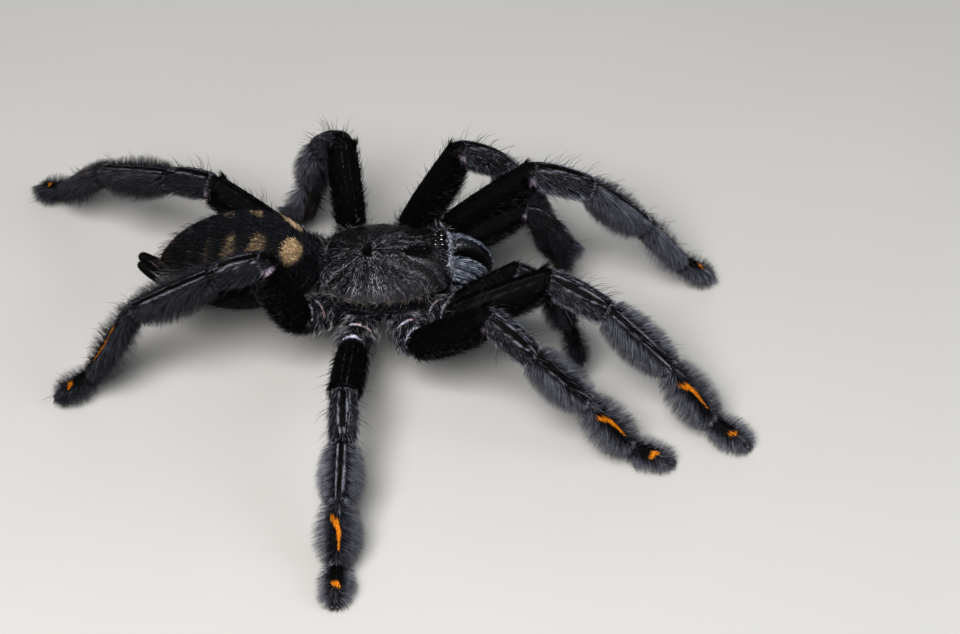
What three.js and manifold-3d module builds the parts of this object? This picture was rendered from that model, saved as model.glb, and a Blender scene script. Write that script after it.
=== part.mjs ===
// Tarantula, life size, standing on a floor with every foot flat on it.
// Millimetres. +X is towards the head, +Y is the spider's left, +Z is up, the floor is z = 0.
// Every solid is the outline of the animal out to the tips of its coat.

import * as THREE from 'three';
import { mergeVertices } from 'three/addons/utils/BufferGeometryUtils.js';
import Module from 'manifold-3d';

const wasm = await Module();
wasm.setup();
const { Manifold, Mesh } = wasm;

// ---------------------------------------------------------------- driving dimensions

const GAP = 0.3;                     // clear space between neighbouring pieces
const LIMB_SIDES = 10;               // corners of a limb's cross-section
const JOINT_ROOM = 0.35;             // length kept free of other sections beside a joint
const TIP_HEIGHT = 0.85;             // a leg's end point over the floor, under which it is cut flat

const CARAPACE_REAR = -9.4;
const CARAPACE_FRONT = 9.8;
const CARAPACE_HALF_WIDTH = 8.9;
const REAR_CURVE = 8.2;              // length over which the rear rounds out to full width
const REAR_WIDTH = 0.42;             // share of the half width that the rear edge has
const FRONT_CURVE_START = -1.2;      // where the outline starts to narrow towards the head
const FRONT_TAPER = 0.36;            // share of the half width lost by the front
const FRONT_CORNER = 0.14;           // share lost in the last rounded corner
const RIM_HEIGHT = 16.2;             // lower edge of the carapace over the floor
const RIM_THICKNESS = 0.8;
const THORAX_RISE = 3.0;             // top of the thorax over the rim
const HEAD_RISE = 4.5;               // top of the head region over the rim
const SHELL_COAT = 0.25;             // short fur over the shell
const FOVEA_X = -2.9;                // the pit in the middle of the back
const FOVEA_DEPTH = 0.7;

const ABDOMEN_FRONT = -10.0;
const ABDOMEN_REAR = -34.4;
const ABDOMEN_HALF_WIDTH = 8.0;
const ABDOMEN_HALF_HEIGHT = 7.6;
const ABDOMEN_AXIS = 17.4;           // height of its widest section's centre
const ABDOMEN_UNDER = 0.94;          // depth under the axis against the height over it
const WAIST_DIP = 1.3;               // how far the axis sinks to the waist
const REAR_DIP = 1.0;                // and to the spinnerets

const STERNUM_BOTTOM = 8.8;
const STERNUM_TOP = 14.9;

// The low hill that carries the eyes: its middle and half sizes.
const EYE_HILL = { x: 7.7, z: 20.55, length: 1.25, width: 1.6, height: 1.0 };

// Segment lengths from the hip joint outwards: thigh, knee piece, shin, long foot, toe.
const LEG_LENGTHS = {
  1: [16.6, 9.7, 12.3, 10.8, 6.4],
  2: [15.8, 8.5, 10.6, 10.1, 6.4],
  3: [13.5, 7.8, 9.2, 9.0, 6.2],
  4: [16.1, 8.3, 14.0, 14.4, 6.8],
};
const PALP_LENGTHS = [10.6, 6.1, 6.8, 6.4];

// How thick each limb is against the first leg.
const GIRTH = { 1: 1.0, 2: 0.97, 3: 0.95, 4: 1.0, palp: 0.72 };

// The pose. hip: where the thigh starts. turn: heading of each segment in degrees from the
// head's direction, to the left. lift: its slope in degrees; null is worked out from the floor.
// The palps are held clear of the floor.
const POSE = {
  palp_r: { hip: [10.6, -5.6, 13.4], turn: [-2, -3, -30, -50], lift: [36, -33, -60, -65] },
  leg_r1: { hip: [9.4, -8.9, 13.3], turn: [-4, -23, -26, -27, -31], lift: [28.4, -18, -35, null, -21] },
  leg_r2: { hip: [4.4, -12.1, 11.1], turn: [-30, -26, -20, -17, -13], lift: [40.5, -32, -39, null, -18] },
  leg_r3: { hip: [-5.2, -12.5, 10.6], turn: [-94, -92, -93, -92, -93], lift: [15, -24, -20, null, -15] },
  leg_r4: { hip: [-13, -8.2, 12.8], turn: [-135, -190, -181, -177, -174], lift: [67, -25, -29, null, -36] },
  palp_l: { hip: [11.2, 6.3, 14.5], turn: [8, 20, 57, 57], lift: [29, -39, -73, -70] },
  leg_l1: { hip: [9.5, 9.6, 14.8], turn: [-4, 6, 10, 12, 8], lift: [42, -22, -45, null, -37] },
  leg_l2: { hip: [3.2, 10.6, 13.9], turn: [10, 24, 22, 25, 27], lift: [60, -34, -56, null, -31] },
  leg_l3: { hip: [-5.4, 10.8, 13.9], turn: [105, 125, 124, 122, 125], lift: [66, -38, -72, null, -32] },
  leg_l4: { hip: [-13.6, 9.9, 11.3], turn: [165, 149, 145, 136, 141], lift: [34, -13, -21, null, -26] },
};

// Where each hip leaves the breastplate, along X, from front to back.
const HIP_ROOT_X = { palp: 6.9, 1: 4.6, 2: 1.2, 3: -2.6, 4: -6.4 };
const HIP_ROOT_Y = 4.1;
const HIP_ROOT_Z = 11.6;
const ABDOMEN_CORNERS = 18;
const JAW_CORNERS = 12;
const FANG_CORNERS = 8;
const STERNUM_CORNERS = 12;

// Sections along a segment: place from 0 to 1, half width, height over the axis, depth under it.
const SECTIONS = {
  hip: [[0.1, 2.6, 2.4, 2.6], [0.5, 2.95, 2.6, 2.9], [0.85, 2.9, 2.6, 2.8]],
  thigh: [[0, 2.4, 2.4, 2.8], [0.35, 2.6, 2.9, 3.5], [0.72, 2.55, 2.8, 3.2], [1, 2.4, 2.35, 2.6]],
  knee: [[0, 2.4, 2.4, 2.2], [0.45, 2.7, 2.9, 2.6], [1, 2.6, 2.3, 2.5]],
  shin: [[0, 2.9, 2.2, 2.8], [0.5, 3.8, 2.6, 3.6], [1, 2.8, 2.1, 2.7]],
  foot: [[0, 2.5, 1.9, 2.2], [0.35, 3.7, 2.5, 2.9], [0.75, 3.6, 2.4, 2.8], [1, 2.5, 1.8, 2.1]],
  toe: [[0, 2.2, 1.7, 1.9], [0.5, 2.9, 2.1, 2.4], [0.93, 2.0, 1.3, 1.8]],
};
// Sections of the joints between them: half width, height, depth.
const JOINTS = {
  socket: [2.2, 2.3, 2.3],
  hip: [2.55, 2.5, 2.5],
  knee: [2.4, 2.1, 2.1],
  shin: [2.2, 2.1, 2.1],
  foot: [2.2, 1.9, 2.0],
  toe: [2.0, 1.6, 1.7],
  tip: [0.9, 0.6, 0.7],
};

// ---------------------------------------------------------------- finishes

const finishes = {
  coat: new THREE.MeshStandardMaterial({ color: 0x1b1c1f, roughness: 0.75, metalness: 0 }),
  velvet: new THREE.MeshStandardMaterial({ color: 0x0a0a0b, roughness: 0.6, metalness: 0 }),
  shell: new THREE.MeshStandardMaterial({ color: 0x24262a, roughness: 0.55, metalness: 0 }),
  abdomen: new THREE.MeshStandardMaterial({ color: 0x2a2218, roughness: 0.85, metalness: 0 }),
  jaw: new THREE.MeshStandardMaterial({ color: 0x1a2026, roughness: 0.5, metalness: 0 }),
  eye: new THREE.MeshStandardMaterial({ color: 0x050505, roughness: 0.08, metalness: 0 }),
  fang: new THREE.MeshStandardMaterial({ color: 0x120a08, roughness: 0.25, metalness: 0 }),
};

// ---------------------------------------------------------------- making solids

const point = (x, y, z) => new THREE.Vector3(x, y, z);
const radians = THREE.MathUtils.degToRad;
const clamp = THREE.MathUtils.clamp;

// A closed skin over rings of points that go anticlockwise as seen from the far end.
function loft(rings) {
  const corners = rings[0].length;
  const positions = [];
  const triangles = [];
  for (const ring of rings) {
    for (const p of ring) {
      positions.push(p.x, p.y, p.z);
    }
  }
  const centre = (ring) => ring.reduce((sum, p) => sum.add(p), point(0, 0, 0)).divideScalar(corners);
  const first = centre(rings[0]);
  const last = centre(rings[rings.length - 1]);
  const firstIndex = positions.length / 3;
  positions.push(first.x, first.y, first.z, last.x, last.y, last.z);
  for (let c = 0; c < corners; c += 1) {
    const next = (c + 1) % corners;
    for (let r = 0; r + 1 < rings.length; r += 1) {
      const a = r * corners + c;
      const b = r * corners + next;
      const d = a + corners;
      const e = b + corners;
      triangles.push(a, b, e, a, e, d);
    }
    const end = (rings.length - 1) * corners;
    triangles.push(firstIndex, next, c);
    triangles.push(firstIndex + 1, end + c, end + next);
  }
  const geometry = new THREE.BufferGeometry();
  geometry.setAttribute('position', new THREE.Float32BufferAttribute(positions, 3));
  geometry.setIndex(triangles);
  return geometry;
}

// One ring: an ellipse across the axis with its own height above and depth below.
function ring(centre, across, up, [halfWidth, height, depth], corners = LIMB_SIDES) {
  const points = [];
  for (let c = 0; c < corners; c += 1) {
    const angle = ((c + 0.5) / corners) * Math.PI * 2;
    const rise = Math.sin(angle) * (Math.sin(angle) > 0 ? height : depth);
    const p = centre.clone();
    p.addScaledVector(across, Math.cos(angle) * halfWidth);
    p.addScaledVector(up, rise);
    points.push(p);
  }
  return points;
}

function toSolid(geometry) {
  const bare = geometry.clone();
  bare.deleteAttribute('normal');
  bare.deleteAttribute('uv');
  const merged = mergeVertices(bare, 1e-5);
  return new Manifold(new Mesh({
    numProp: 3,
    vertProperties: new Float32Array(merged.attributes.position.array),
    triVerts: new Uint32Array(merged.index.array),
  }));
}

function toGeometry(solid) {
  const mesh = solid.getMesh();
  const geometry = new THREE.BufferGeometry();
  geometry.setAttribute('position', new THREE.BufferAttribute(mesh.vertProperties.slice(), 3));
  geometry.setIndex(new THREE.BufferAttribute(mesh.triVerts.slice(), 1));
  return geometry;
}

// The biggest piece left where a cut has severed a thin sliver.
const biggest = (solid) => solid.decompose().sort((a, b) => b.volume() - a.volume())[0];

function ellipsoid(centre, [length, width, height], [around, down], tilt = 0) {
  const geometry = new THREE.SphereGeometry(1, around, down);
  geometry.rotateX(Math.PI / 2);
  geometry.scale(length, width, height);
  geometry.rotateY(tilt);
  geometry.translate(centre.x, centre.y, centre.z);
  return toSolid(geometry);
}

// Keeps the part of a solid on the side that the normal points to.
function cutByPlane(solid, normal, through) {
  const n = normal.clone().normalize();
  return solid.trimByPlane([n.x, n.y, n.z], n.dot(through));
}

// ---------------------------------------------------------------- limbs

const limbKind = (name) => (name.startsWith('palp') ? 'palp' : Number(name.at(-1)));

// The joint points of a limb from the breastplate to the toe's tip. A leg's foot lands on the floor.
function limbJoints(name) {
  const { hip, turn, lift } = POSE[name];
  const kind = limbKind(name);
  const lengths = kind === 'palp' ? PALP_LENGTHS : LEG_LENGTHS[kind];
  const free = lift.indexOf(null);
  const rises = lengths.map((length, i) => (i === free ? 0 : length * Math.sin(radians(lift[i]))));
  if (free >= 0) {
    rises[free] = TIP_HEIGHT - hip[2] - rises.reduce((sum, rise) => sum + rise, 0);
  }
  const side = Math.sign(hip[1]);
  const joints = [point(HIP_ROOT_X[kind], side * HIP_ROOT_Y, HIP_ROOT_Z), point(...hip)];
  lengths.forEach((length, i) => {
    const reach = Math.sqrt(length ** 2 - rises[i] ** 2);
    const heading = radians(turn[i]);
    const step = point(reach * Math.cos(heading), reach * Math.sin(heading), rises[i]);
    joints.push(joints.at(-1).clone().add(step));
  });
  return joints;
}

// The direction of one segment, its own left and its own top.
function segmentFrame(from, to) {
  const along = to.clone().sub(from).normalize();
  const across = point(-along.y, along.x, 0).normalize();
  return { along, across, up: along.clone().cross(across) };
}

// The same for the plane that halves the bend between two segments.
function jointFrame(before, after) {
  const along = before.along.clone().add(after.along).normalize();
  const across = before.across.clone().add(after.across).normalize();
  across.addScaledVector(along, -across.dot(along)).normalize();
  return { along, across, up: along.clone().cross(across) };
}

const LEG_NODES = { hip: ['hip'], thigh: ['thigh'], shin: ['knee', 'shin'], foot: ['foot', 'toe'] };
const PALP_NODES = { hip: ['hip'], thigh: ['thigh'], shin: ['knee', 'shin'], foot: ['toe'] };

// All pieces of one limb, parted at the joints. grow makes the whole limb fatter.
function limbPieces(name, grow = 0) {
  const kind = limbKind(name);
  const girth = GIRTH[kind];
  const nodes = kind === 'palp' ? PALP_NODES : LEG_NODES;
  const segments = Object.values(nodes).flat();
  const joints = limbJoints(name);
  const frames = segments.map((_, i) => segmentFrame(joints[i], joints[i + 1]));
  const thick = (section) => section.map((size) => size * girth + grow);
  const rings = {};
  const ends = segments.map((segment, i) => {
    const before = frames[Math.max(i - 1, 0)];
    const frame = jointFrame(before, frames[i]);
    const bend = before.along.angleTo(frames[i].along);
    return { frame, section: JOINTS[i === 0 ? 'socket' : segment === 'thigh' ? 'hip' : segment], bend };
  });
  ends.push({ frame: frames.at(-1), section: JOINTS.tip, bend: 0 });
  segments.forEach((segment, i) => {
    const { along, across, up } = frames[i];
    const length = joints[i].distanceTo(joints[i + 1]);
    const clearOf = (end) => Math.tan(end.bend / 2) * thick(end.section)[2] + JOINT_ROOM;
    const start = clearOf(ends[i]);
    const span = length - start - clearOf(ends[i + 1]);
    rings[segment] = SECTIONS[segment].map(([place, ...section]) => {
      const centre = joints[i].clone().addScaledVector(along, start + place * span);
      return ring(centre, across, up, thick(section));
    });
  });
  const endRing = (i, shift) => {
    const { frame, section } = ends[i];
    const centre = joints[i].clone().addScaledVector(frame.along, shift);
    return ring(centre, frame.across, frame.up, thick(section));
  };
  const pieces = {};
  let i = 0;
  for (const [node, parts] of Object.entries(nodes)) {
    const list = [endRing(i, GAP / 2 - grow)];
    parts.forEach((segment, k) => {
      list.push(...rings[segment]);
      i += 1;
      if (k + 1 < parts.length) {
        list.push(endRing(i, 0));
      }
    });
    list.push(endRing(i, grow - GAP / 2));
    pieces[node] = cutByPlane(toSolid(loft(list)), point(0, 0, 1), point(0, 0, 0));
  }
  return pieces;
}

// ---------------------------------------------------------------- body

const RING_CORNERS = 20;

// Half width of the carapace at x, from its notched rear to the blunt front of the head.
function carapaceHalfWidth(x) {
  const rear = clamp((x - CARAPACE_REAR) / REAR_CURVE, 0, 1);
  const front = clamp((x - FRONT_CURVE_START) / (CARAPACE_FRONT - FRONT_CURVE_START), 0, 1);
  const backCurve = REAR_WIDTH + (1 - REAR_WIDTH) * Math.sqrt(1 - (1 - rear) ** 2);
  const frontCurve = 1 - FRONT_TAPER * front ** 1.5 - FRONT_CORNER * front ** 12;
  return CARAPACE_HALF_WIDTH * backCurve * frontCurve;
}

// Height of the shell's top: a domed thorax, a head region that stands over it, and the pit.
function carapaceTop(x, y, halfWidth) {
  const out = clamp(Math.abs(y) / halfWidth, 0, 1);
  const along = (x - CARAPACE_REAR) / (CARAPACE_FRONT - CARAPACE_REAR);
  const rearSlope = clamp(along / 0.34, 0, 1) ** 0.7;
  const frontSlope = 1 - 0.22 * clamp((along - 0.9) / 0.1, 0, 1) ** 2;
  const thorax = THORAX_RISE * rearSlope * (1 - out ** 2.4);
  const headHalfWidth = 1.4 + 4.2 * clamp((x - FOVEA_X) / (CARAPACE_FRONT - FOVEA_X), 0, 1) ** 0.8;
  const onHead = THREE.MathUtils.smoothstep(x, FOVEA_X - 0.4, FOVEA_X + 5.5);
  const headEdge = THREE.MathUtils.smoothstep(headHalfWidth + 0.9 - Math.abs(y), 0, 1.9);
  const head = (HEAD_RISE - THORAX_RISE) * onHead * headEdge;
  const pit = FOVEA_DEPTH * Math.exp(-(((x - FOVEA_X) / 0.8) ** 2) - ((y / 1.3) ** 2));
  return RIM_HEIGHT + (thorax + head - pit * rearSlope) * frontSlope;
}

function carapace(grow = 0) {
  const stations = 13;
  const rings = [];
  for (let s = 0; s < stations; s += 1) {
    const along = 0.5 - 0.5 * Math.cos((s / (stations - 1)) * Math.PI);
    const x = CARAPACE_REAR + (CARAPACE_FRONT - CARAPACE_REAR) * along;
    const halfWidth = carapaceHalfWidth(x);
    const points = [];
    for (let c = 0; c < RING_CORNERS; c += 1) {
      const angle = ((c + 0.5) / RING_CORNERS) * Math.PI * 2;
      const sine = Math.sin(angle);
      const y = halfWidth * Math.cos(angle);
      const top = carapaceTop(x, y, halfWidth) + grow + SHELL_COAT;
      const low = RIM_HEIGHT - grow - RIM_THICKNESS * Math.sqrt(Math.abs(sine));
      const wide = y + Math.sign(y) * grow;
      points.push(point(x, wide, sine > 0 ? top : low));
    }
    rings.push(points);
  }
  for (const p of rings[0]) {
    p.x -= grow;
  }
  for (const p of rings.at(-1)) {
    p.x += grow;
  }
  return toSolid(loft(rings));
}

function eyeHill() {
  const { x, z, length, width, height } = EYE_HILL;
  return ellipsoid(point(x, 0, z), [length, width, height], [14, 7]);
}

const EYE_SINK = 0.06;               // how far an eye's middle sits under the hill's surface
const EYE_ROOM = 0.08;               // clear space between an eye and its socket

// Place on the eye hill: forward, to the side; and the eye's own half sizes.
const EYES = {
  front_middle: { forward: 0.5, side: 0.45, size: [0.33, 0.33, 0.33] },
  front_side: { forward: 0.62, side: 1.12, size: [0.3, 0.36, 0.3] },
  rear_side: { forward: -0.42, side: 1.2, size: [0.26, 0.31, 0.27] },
  rear_middle: { forward: -0.35, side: 0.68, size: [0.2, 0.24, 0.2] },
};

function eye({ forward, side, size }, hand, grow = 0) {
  const { x, z, length, width, height } = EYE_HILL;
  const fall = (forward / length) ** 2 + (side / width) ** 2;
  const rise = height * Math.sqrt(Math.max(0.08, 1 - fall));
  const centre = point(x + forward, hand * side, z + rise - EYE_SINK);
  return ellipsoid(centre, size.map((radius) => radius + grow), [8, 5]);
}

function abdomen() {
  const stations = 13;
  const length = ABDOMEN_FRONT - ABDOMEN_REAR;
  const rings = [];
  for (let s = 0; s < stations; s += 1) {
    const along = 0.5 - 0.5 * Math.cos((s / (stations - 1)) * Math.PI);
    const x = ABDOMEN_REAR + length * along;
    const toEnd = Math.abs(along - 0.5) * 2;
    const power = along < 0.5 ? 1.65 : 2.5;
    const swell = Math.max(1 - toEnd ** power, 0) ** 0.5;
    const neck = along > 0.9 ? 0.16 : 0.1;
    const size = Math.max(swell, neck);
    const toWaist = clamp((along - 0.7) / 0.3, 0, 1);
    const axis = ABDOMEN_AXIS - WAIST_DIP * toWaist ** 2 - REAR_DIP * (1 - along) ** 3;
    const height = ABDOMEN_HALF_HEIGHT * size;
    const section = [ABDOMEN_HALF_WIDTH * size, height, height * ABDOMEN_UNDER];
    rings.push(ring(point(x, 0, axis), point(0, 1, 0), point(0, 0, 1), section, ABDOMEN_CORNERS));
  }
  return toSolid(loft(rings));
}

// The long pair of spinnerets. Stations: forward, to the side, height, radius.
const SPINNERET_PATH = [
  [-33.0, 1.15, 14.4, 1.25], [-34.8, 1.1, 15.7, 1.2], [-36.0, 1.0, 16.8, 1.0], [-36.95, 0.95, 17.7, 0.68],
];
const SPINNERET_START = -34.7;       // where they leave the abdomen

function spinneret(hand) {
  const path = SPINNERET_PATH.map(([x, y, z]) => point(x, hand * y, z));
  const rings = SPINNERET_PATH.map(([, , , radius], i) => {
    const from = path[Math.max(i - 1, 0)];
    const to = path[Math.min(i + 1, path.length - 1)];
    const { across, up } = segmentFrame(from, to);
    return ring(path[i], across, up, [radius, radius, radius]);
  });
  const whole = cutByPlane(toSolid(loft(rings)), point(-1, 0, 0), point(SPINNERET_START, 0, 0));
  return cutByPlane(whole, point(0, hand, 0), point(0, hand * GAP / 2, 0));
}

// The breastplate, with the flanks above it up to the carapace. Stations: forward, half width.
const STERNUM_PATH = [[-7.4, 1.2], [-6.2, 2.6], [-2.6, 3.4], [1.2, 3.4], [4.6, 3.0], [6.8, 2.0], [8.3, 1.5]];

function sternum() {
  const middle = (STERNUM_TOP + STERNUM_BOTTOM) / 2;
  const half = (STERNUM_TOP - STERNUM_BOTTOM) / 2;
  const square = (value) => Math.sign(value) * Math.sqrt(Math.abs(value));
  const rings = STERNUM_PATH.map(([x, halfWidth]) => {
    const corners = [];
    for (let c = 0; c < STERNUM_CORNERS; c += 1) {
      const angle = ((c + 0.5) / STERNUM_CORNERS) * Math.PI * 2;
      const y = halfWidth * square(Math.cos(angle));
      corners.push(point(x, y, middle + half * square(Math.sin(angle))));
    }
    return corners;
  });
  return toSolid(loft(rings));
}

// The jaws' bases: a bulging piece that leaves the head forwards and bends down to the fang.
const JAW_PATH = [
  [9.2, 16.6, 2.9], [10.8, 16.6, 3.2], [12.6, 15.7, 3.15],
  [13.7, 14.2, 2.8], [13.9, 12.3, 2.3], [13.7, 10.6, 1.8],
];
const JAW_SIDE = 2.3;
const JAW_HALF_WIDTH = 2.1;
const JAW_END_WIDTH = 0.75;          // share of the half width that the lower end keeps

function jaw(hand) {
  const path = JAW_PATH.map(([x, z]) => point(x, hand * JAW_SIDE, z));
  const rings = JAW_PATH.map(([, , radius], i) => {
    const from = path[Math.max(i - 1, 0)];
    const to = path[Math.min(i + 1, path.length - 1)];
    const { across, up } = segmentFrame(from, to);
    const width = JAW_HALF_WIDTH * (i === path.length - 1 ? JAW_END_WIDTH : 1);
    return ring(path[i], across, up, [width, radius, radius], JAW_CORNERS);
  });
  return toSolid(loft(rings));
}

// A fang, folded back under its jaw and leaning inwards. Stations: forward, height, radius.
const FANG_LEAN = 0.12;
const FANG_FLATNESS = 0.8;
const FANG_PATH = [
  [14.3, 9.35, 0.95], [13.6, 8.45, 0.85], [12.5, 7.9, 0.68], [11.3, 7.9, 0.48], [10.3, 8.3, 0.28],
];

function fang(hand) {
  const path = FANG_PATH.map(([x, z], i) => point(x, hand * (JAW_SIDE - FANG_LEAN * i), z));
  const rings = FANG_PATH.map(([, , radius], i) => {
    const { across, up } = segmentFrame(path[Math.max(i - 1, 0)], path[Math.min(i + 1, path.length - 1)]);
    return ring(path[i], across, up, [radius * FANG_FLATNESS, radius, radius], FANG_CORNERS);
  });
  return toSolid(loft(rings));
}

// ---------------------------------------------------------------- putting it together

const solids = {};
const looks = {};

function add(name, solid, look) {
  solids[name] = solid;
  looks[name] = look;
}

const limbNames = Object.keys(POSE);
const fatLimbs = {};
for (const name of limbNames) {
  const pieces = limbPieces(name);
  fatLimbs[name] = limbPieces(name, GAP);
  for (const [part, solid] of Object.entries(pieces)) {
    add(`${name}_${part}`, solid, part === 'thigh' ? 'velvet' : 'coat');
  }
}

// Neighbouring hips on one side are parted by an upright plane halfway between them,
// and where two limbs crowd each other the one in front gives way.
for (const side of ['r', 'l']) {
  const row = [`palp_${side}`, `leg_${side}1`, `leg_${side}2`, `leg_${side}3`, `leg_${side}4`];
  for (let i = 0; i + 1 < row.length; i += 1) {
    const [front, back] = [row[i], row[i + 1]];
    const [rootA, hipA] = limbJoints(front);
    const [rootB, hipB] = limbJoints(back);
    const inner = rootA.clone().add(rootB).divideScalar(2);
    const outer = hipA.clone().add(hipB).divideScalar(2);
    const between = outer.clone().sub(inner);
    const normal = point(-between.y, between.x, 0).normalize();
    if (normal.dot(rootA.clone().sub(inner)) < 0) {
      normal.negate();
    }
    const margin = normal.clone().multiplyScalar(GAP / 2);
    const away = normal.clone().negate();
    solids[`${front}_hip`] = cutByPlane(solids[`${front}_hip`], normal, inner.clone().add(margin));
    solids[`${back}_hip`] = cutByPlane(solids[`${back}_hip`], away, inner.clone().sub(margin));
    for (const part of ['hip', 'thigh', 'shin']) {
      solids[`${front}_${part}`] = solids[`${front}_${part}`].subtract(fatLimbs[back].thigh);
    }
    solids[`${front}_thigh`] = solids[`${front}_thigh`].subtract(fatLimbs[back].hip);
    solids[`${back}_thigh`] = solids[`${back}_thigh`].subtract(fatLimbs[front].hip);
  }
}

add('sternum', sternum(), 'coat');
const fatCarapace = carapace(GAP);
for (const name of limbNames) {
  solids[`${name}_hip`] = solids[`${name}_hip`].subtract(fatCarapace);
  solids[`${name}_thigh`] = solids[`${name}_thigh`].subtract(fatCarapace);
}

let head = carapace().add(eyeHill());
for (const [place, shape] of Object.entries(EYES)) {
  for (const [side, hand] of [['r', -1], ['l', 1]]) {
    head = head.subtract(eye(shape, hand, EYE_ROOM));
    add(`eye_${place}_${side}`, eye(shape, hand), 'eye');
  }
}
add('carapace', head, 'shell');

let belly = abdomen().subtract(fatCarapace);
for (const name of ['leg_r4', 'leg_l4']) {
  belly = belly.subtract(fatLimbs[name].hip).subtract(fatLimbs[name].thigh);
}
add('abdomen', belly, 'abdomen');

for (const [side, hand] of [['r', -1], ['l', 1]]) {
  add(`spinneret_${side}`, spinneret(hand), 'coat');
  const palp = fatLimbs[`palp_${side}`];
  const base = jaw(hand).subtract(fatCarapace).subtract(palp.hip).subtract(palp.thigh);
  add(`jaw_${side}`, biggest(base), 'jaw');
  add(`fang_${side}`, fang(hand), 'fang');
}

// The origin is the middle of the part's box on the floor.
const box = new THREE.Box3();
const meshes = Object.entries(solids).map(([name, solid]) => {
  const geometry = toGeometry(solid);
  geometry.computeVertexNormals();
  geometry.computeBoundingBox();
  box.union(geometry.boundingBox);
  const mesh = new THREE.Mesh(geometry, finishes[looks[name]]);
  mesh.name = name;
  return mesh;
});
const middle = box.getCenter(point(0, 0, 0));
const group = new THREE.Group();
group.position.set(-middle.x, -middle.y, -box.min.z);
group.add(...meshes);

export default group;
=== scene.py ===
"""A tarantula, life size, standing on a floor: skin, shell plates, eyes, fangs, claws and coat.

The animal is modelled in millimetres, with +X towards its head, +Y to its left and the floor at
z = 0, as the solids were. settle() puts each finished piece into the frame, in metres.
"""

import math

import bpy
import numpy as np
from mathutils import Matrix, Vector


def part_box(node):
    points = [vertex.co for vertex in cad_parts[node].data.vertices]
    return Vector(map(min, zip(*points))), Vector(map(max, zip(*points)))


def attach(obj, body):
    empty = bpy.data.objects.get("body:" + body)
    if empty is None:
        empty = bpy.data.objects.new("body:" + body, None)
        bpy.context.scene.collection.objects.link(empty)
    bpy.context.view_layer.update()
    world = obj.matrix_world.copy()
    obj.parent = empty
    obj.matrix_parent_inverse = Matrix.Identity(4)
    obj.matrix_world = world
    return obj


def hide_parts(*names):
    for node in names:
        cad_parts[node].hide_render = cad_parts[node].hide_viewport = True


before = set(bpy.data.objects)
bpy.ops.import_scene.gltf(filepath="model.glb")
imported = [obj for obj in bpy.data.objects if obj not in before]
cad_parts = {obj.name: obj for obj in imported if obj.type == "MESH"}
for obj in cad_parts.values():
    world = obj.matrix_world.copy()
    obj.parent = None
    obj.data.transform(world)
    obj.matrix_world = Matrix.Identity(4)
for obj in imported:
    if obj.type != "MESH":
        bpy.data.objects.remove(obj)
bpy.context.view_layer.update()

# ---------------------------------------------------------------- sizes, in millimetres

MM = 0.001
CARAPACE_REAR = -9.4
CARAPACE_FRONT = 9.8
CARAPACE_HALF_WIDTH = 8.9
RIM_HEIGHT = 16.2
RIM_THICKNESS = 0.8
THORAX_RISE = 3.0
HEAD_RISE = 4.5
FOVEA_X = -2.9

ABDOMEN_FRONT = -10.0
ABDOMEN_REAR = -34.4
ABDOMEN_HALF_WIDTH = 8.0
ABDOMEN_HALF_HEIGHT = 7.6
ABDOMEN_AXIS = 17.4

EYE_HILL = {"x": 7.7, "z": 20.55, "length": 1.25, "width": 1.6, "height": 1.0}

# Segment lengths from the hip joint outwards: thigh, knee piece, shin, long foot, toe.
LEG_LENGTHS = {
    "1": [16.6, 9.7, 12.3, 10.8, 6.4],
    "2": [15.8, 8.5, 10.6, 10.1, 6.4],
    "3": [13.5, 7.8, 9.2, 9.0, 6.2],
    "4": [16.1, 8.3, 14.0, 14.4, 6.8],
}
PALP_LENGTHS = [10.6, 6.1, 6.8, 6.4]
GIRTH = {"1": 1.0, "2": 0.97, "3": 0.95, "4": 1.0, "palp": 0.72}
TIP_HEIGHT = 0.85
HIP_ROOT_X = {"palp": 6.9, "1": 4.6, "2": 1.2, "3": -2.6, "4": -6.4}
HIP_ROOT_Y = 4.1
HIP_ROOT_Z = 11.6

# The pose: where each thigh starts, the heading of each segment in degrees to the left of the
# head's direction, and its slope. None is the slope that lands the foot on the floor.
POSE = {
    "palp_r": {"hip": (10.6, -5.6, 13.4), "turn": (-2, -3, -30, -50), "lift": (36, -33, -60, -65)},
    "leg_r1": {"hip": (9.4, -8.9, 13.3), "turn": (-4, -23, -26, -27, -31),
               "lift": (28.4, -18, -35, None, -21)},
    "leg_r2": {"hip": (4.4, -12.1, 11.1), "turn": (-30, -26, -20, -17, -13),
               "lift": (40.5, -32, -39, None, -18)},
    "leg_r3": {"hip": (-5.2, -12.5, 10.6), "turn": (-94, -92, -93, -92, -93),
               "lift": (15, -24, -20, None, -15)},
    "leg_r4": {"hip": (-13.0, -8.2, 12.8), "turn": (-135, -190, -181, -177, -174),
               "lift": (67, -25, -29, None, -36)},
    "palp_l": {"hip": (11.2, 6.3, 14.5), "turn": (8, 20, 57, 57), "lift": (29, -39, -73, -70)},
    "leg_l1": {"hip": (9.5, 9.6, 14.8), "turn": (-4, 6, 10, 12, 8), "lift": (42, -22, -45, None, -37)},
    "leg_l2": {"hip": (3.2, 10.6, 13.9), "turn": (10, 24, 22, 25, 27), "lift": (60, -34, -56, None, -31)},
    "leg_l3": {"hip": (-5.4, 10.8, 13.9), "turn": (105, 125, 124, 122, 125),
               "lift": (66, -38, -72, None, -32)},
    "leg_l4": {"hip": (-13.6, 9.9, 11.3), "turn": (165, 149, 145, 136, 141),
               "lift": (34, -13, -21, None, -26)},
}

carapace_low, carapace_high = (Vector(corner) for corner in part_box("carapace"))
SHIFT = Vector((
    (carapace_low.x + carapace_high.x) / 2 - MM * (CARAPACE_REAR + CARAPACE_FRONT) / 2,
    (carapace_low.y + carapace_high.y) / 2,
    0.0,
))
TO_FRAME = Matrix.Translation(SHIFT) @ Matrix.Scale(MM, 4)

# ---------------------------------------------------------------- modelling helpers

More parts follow.
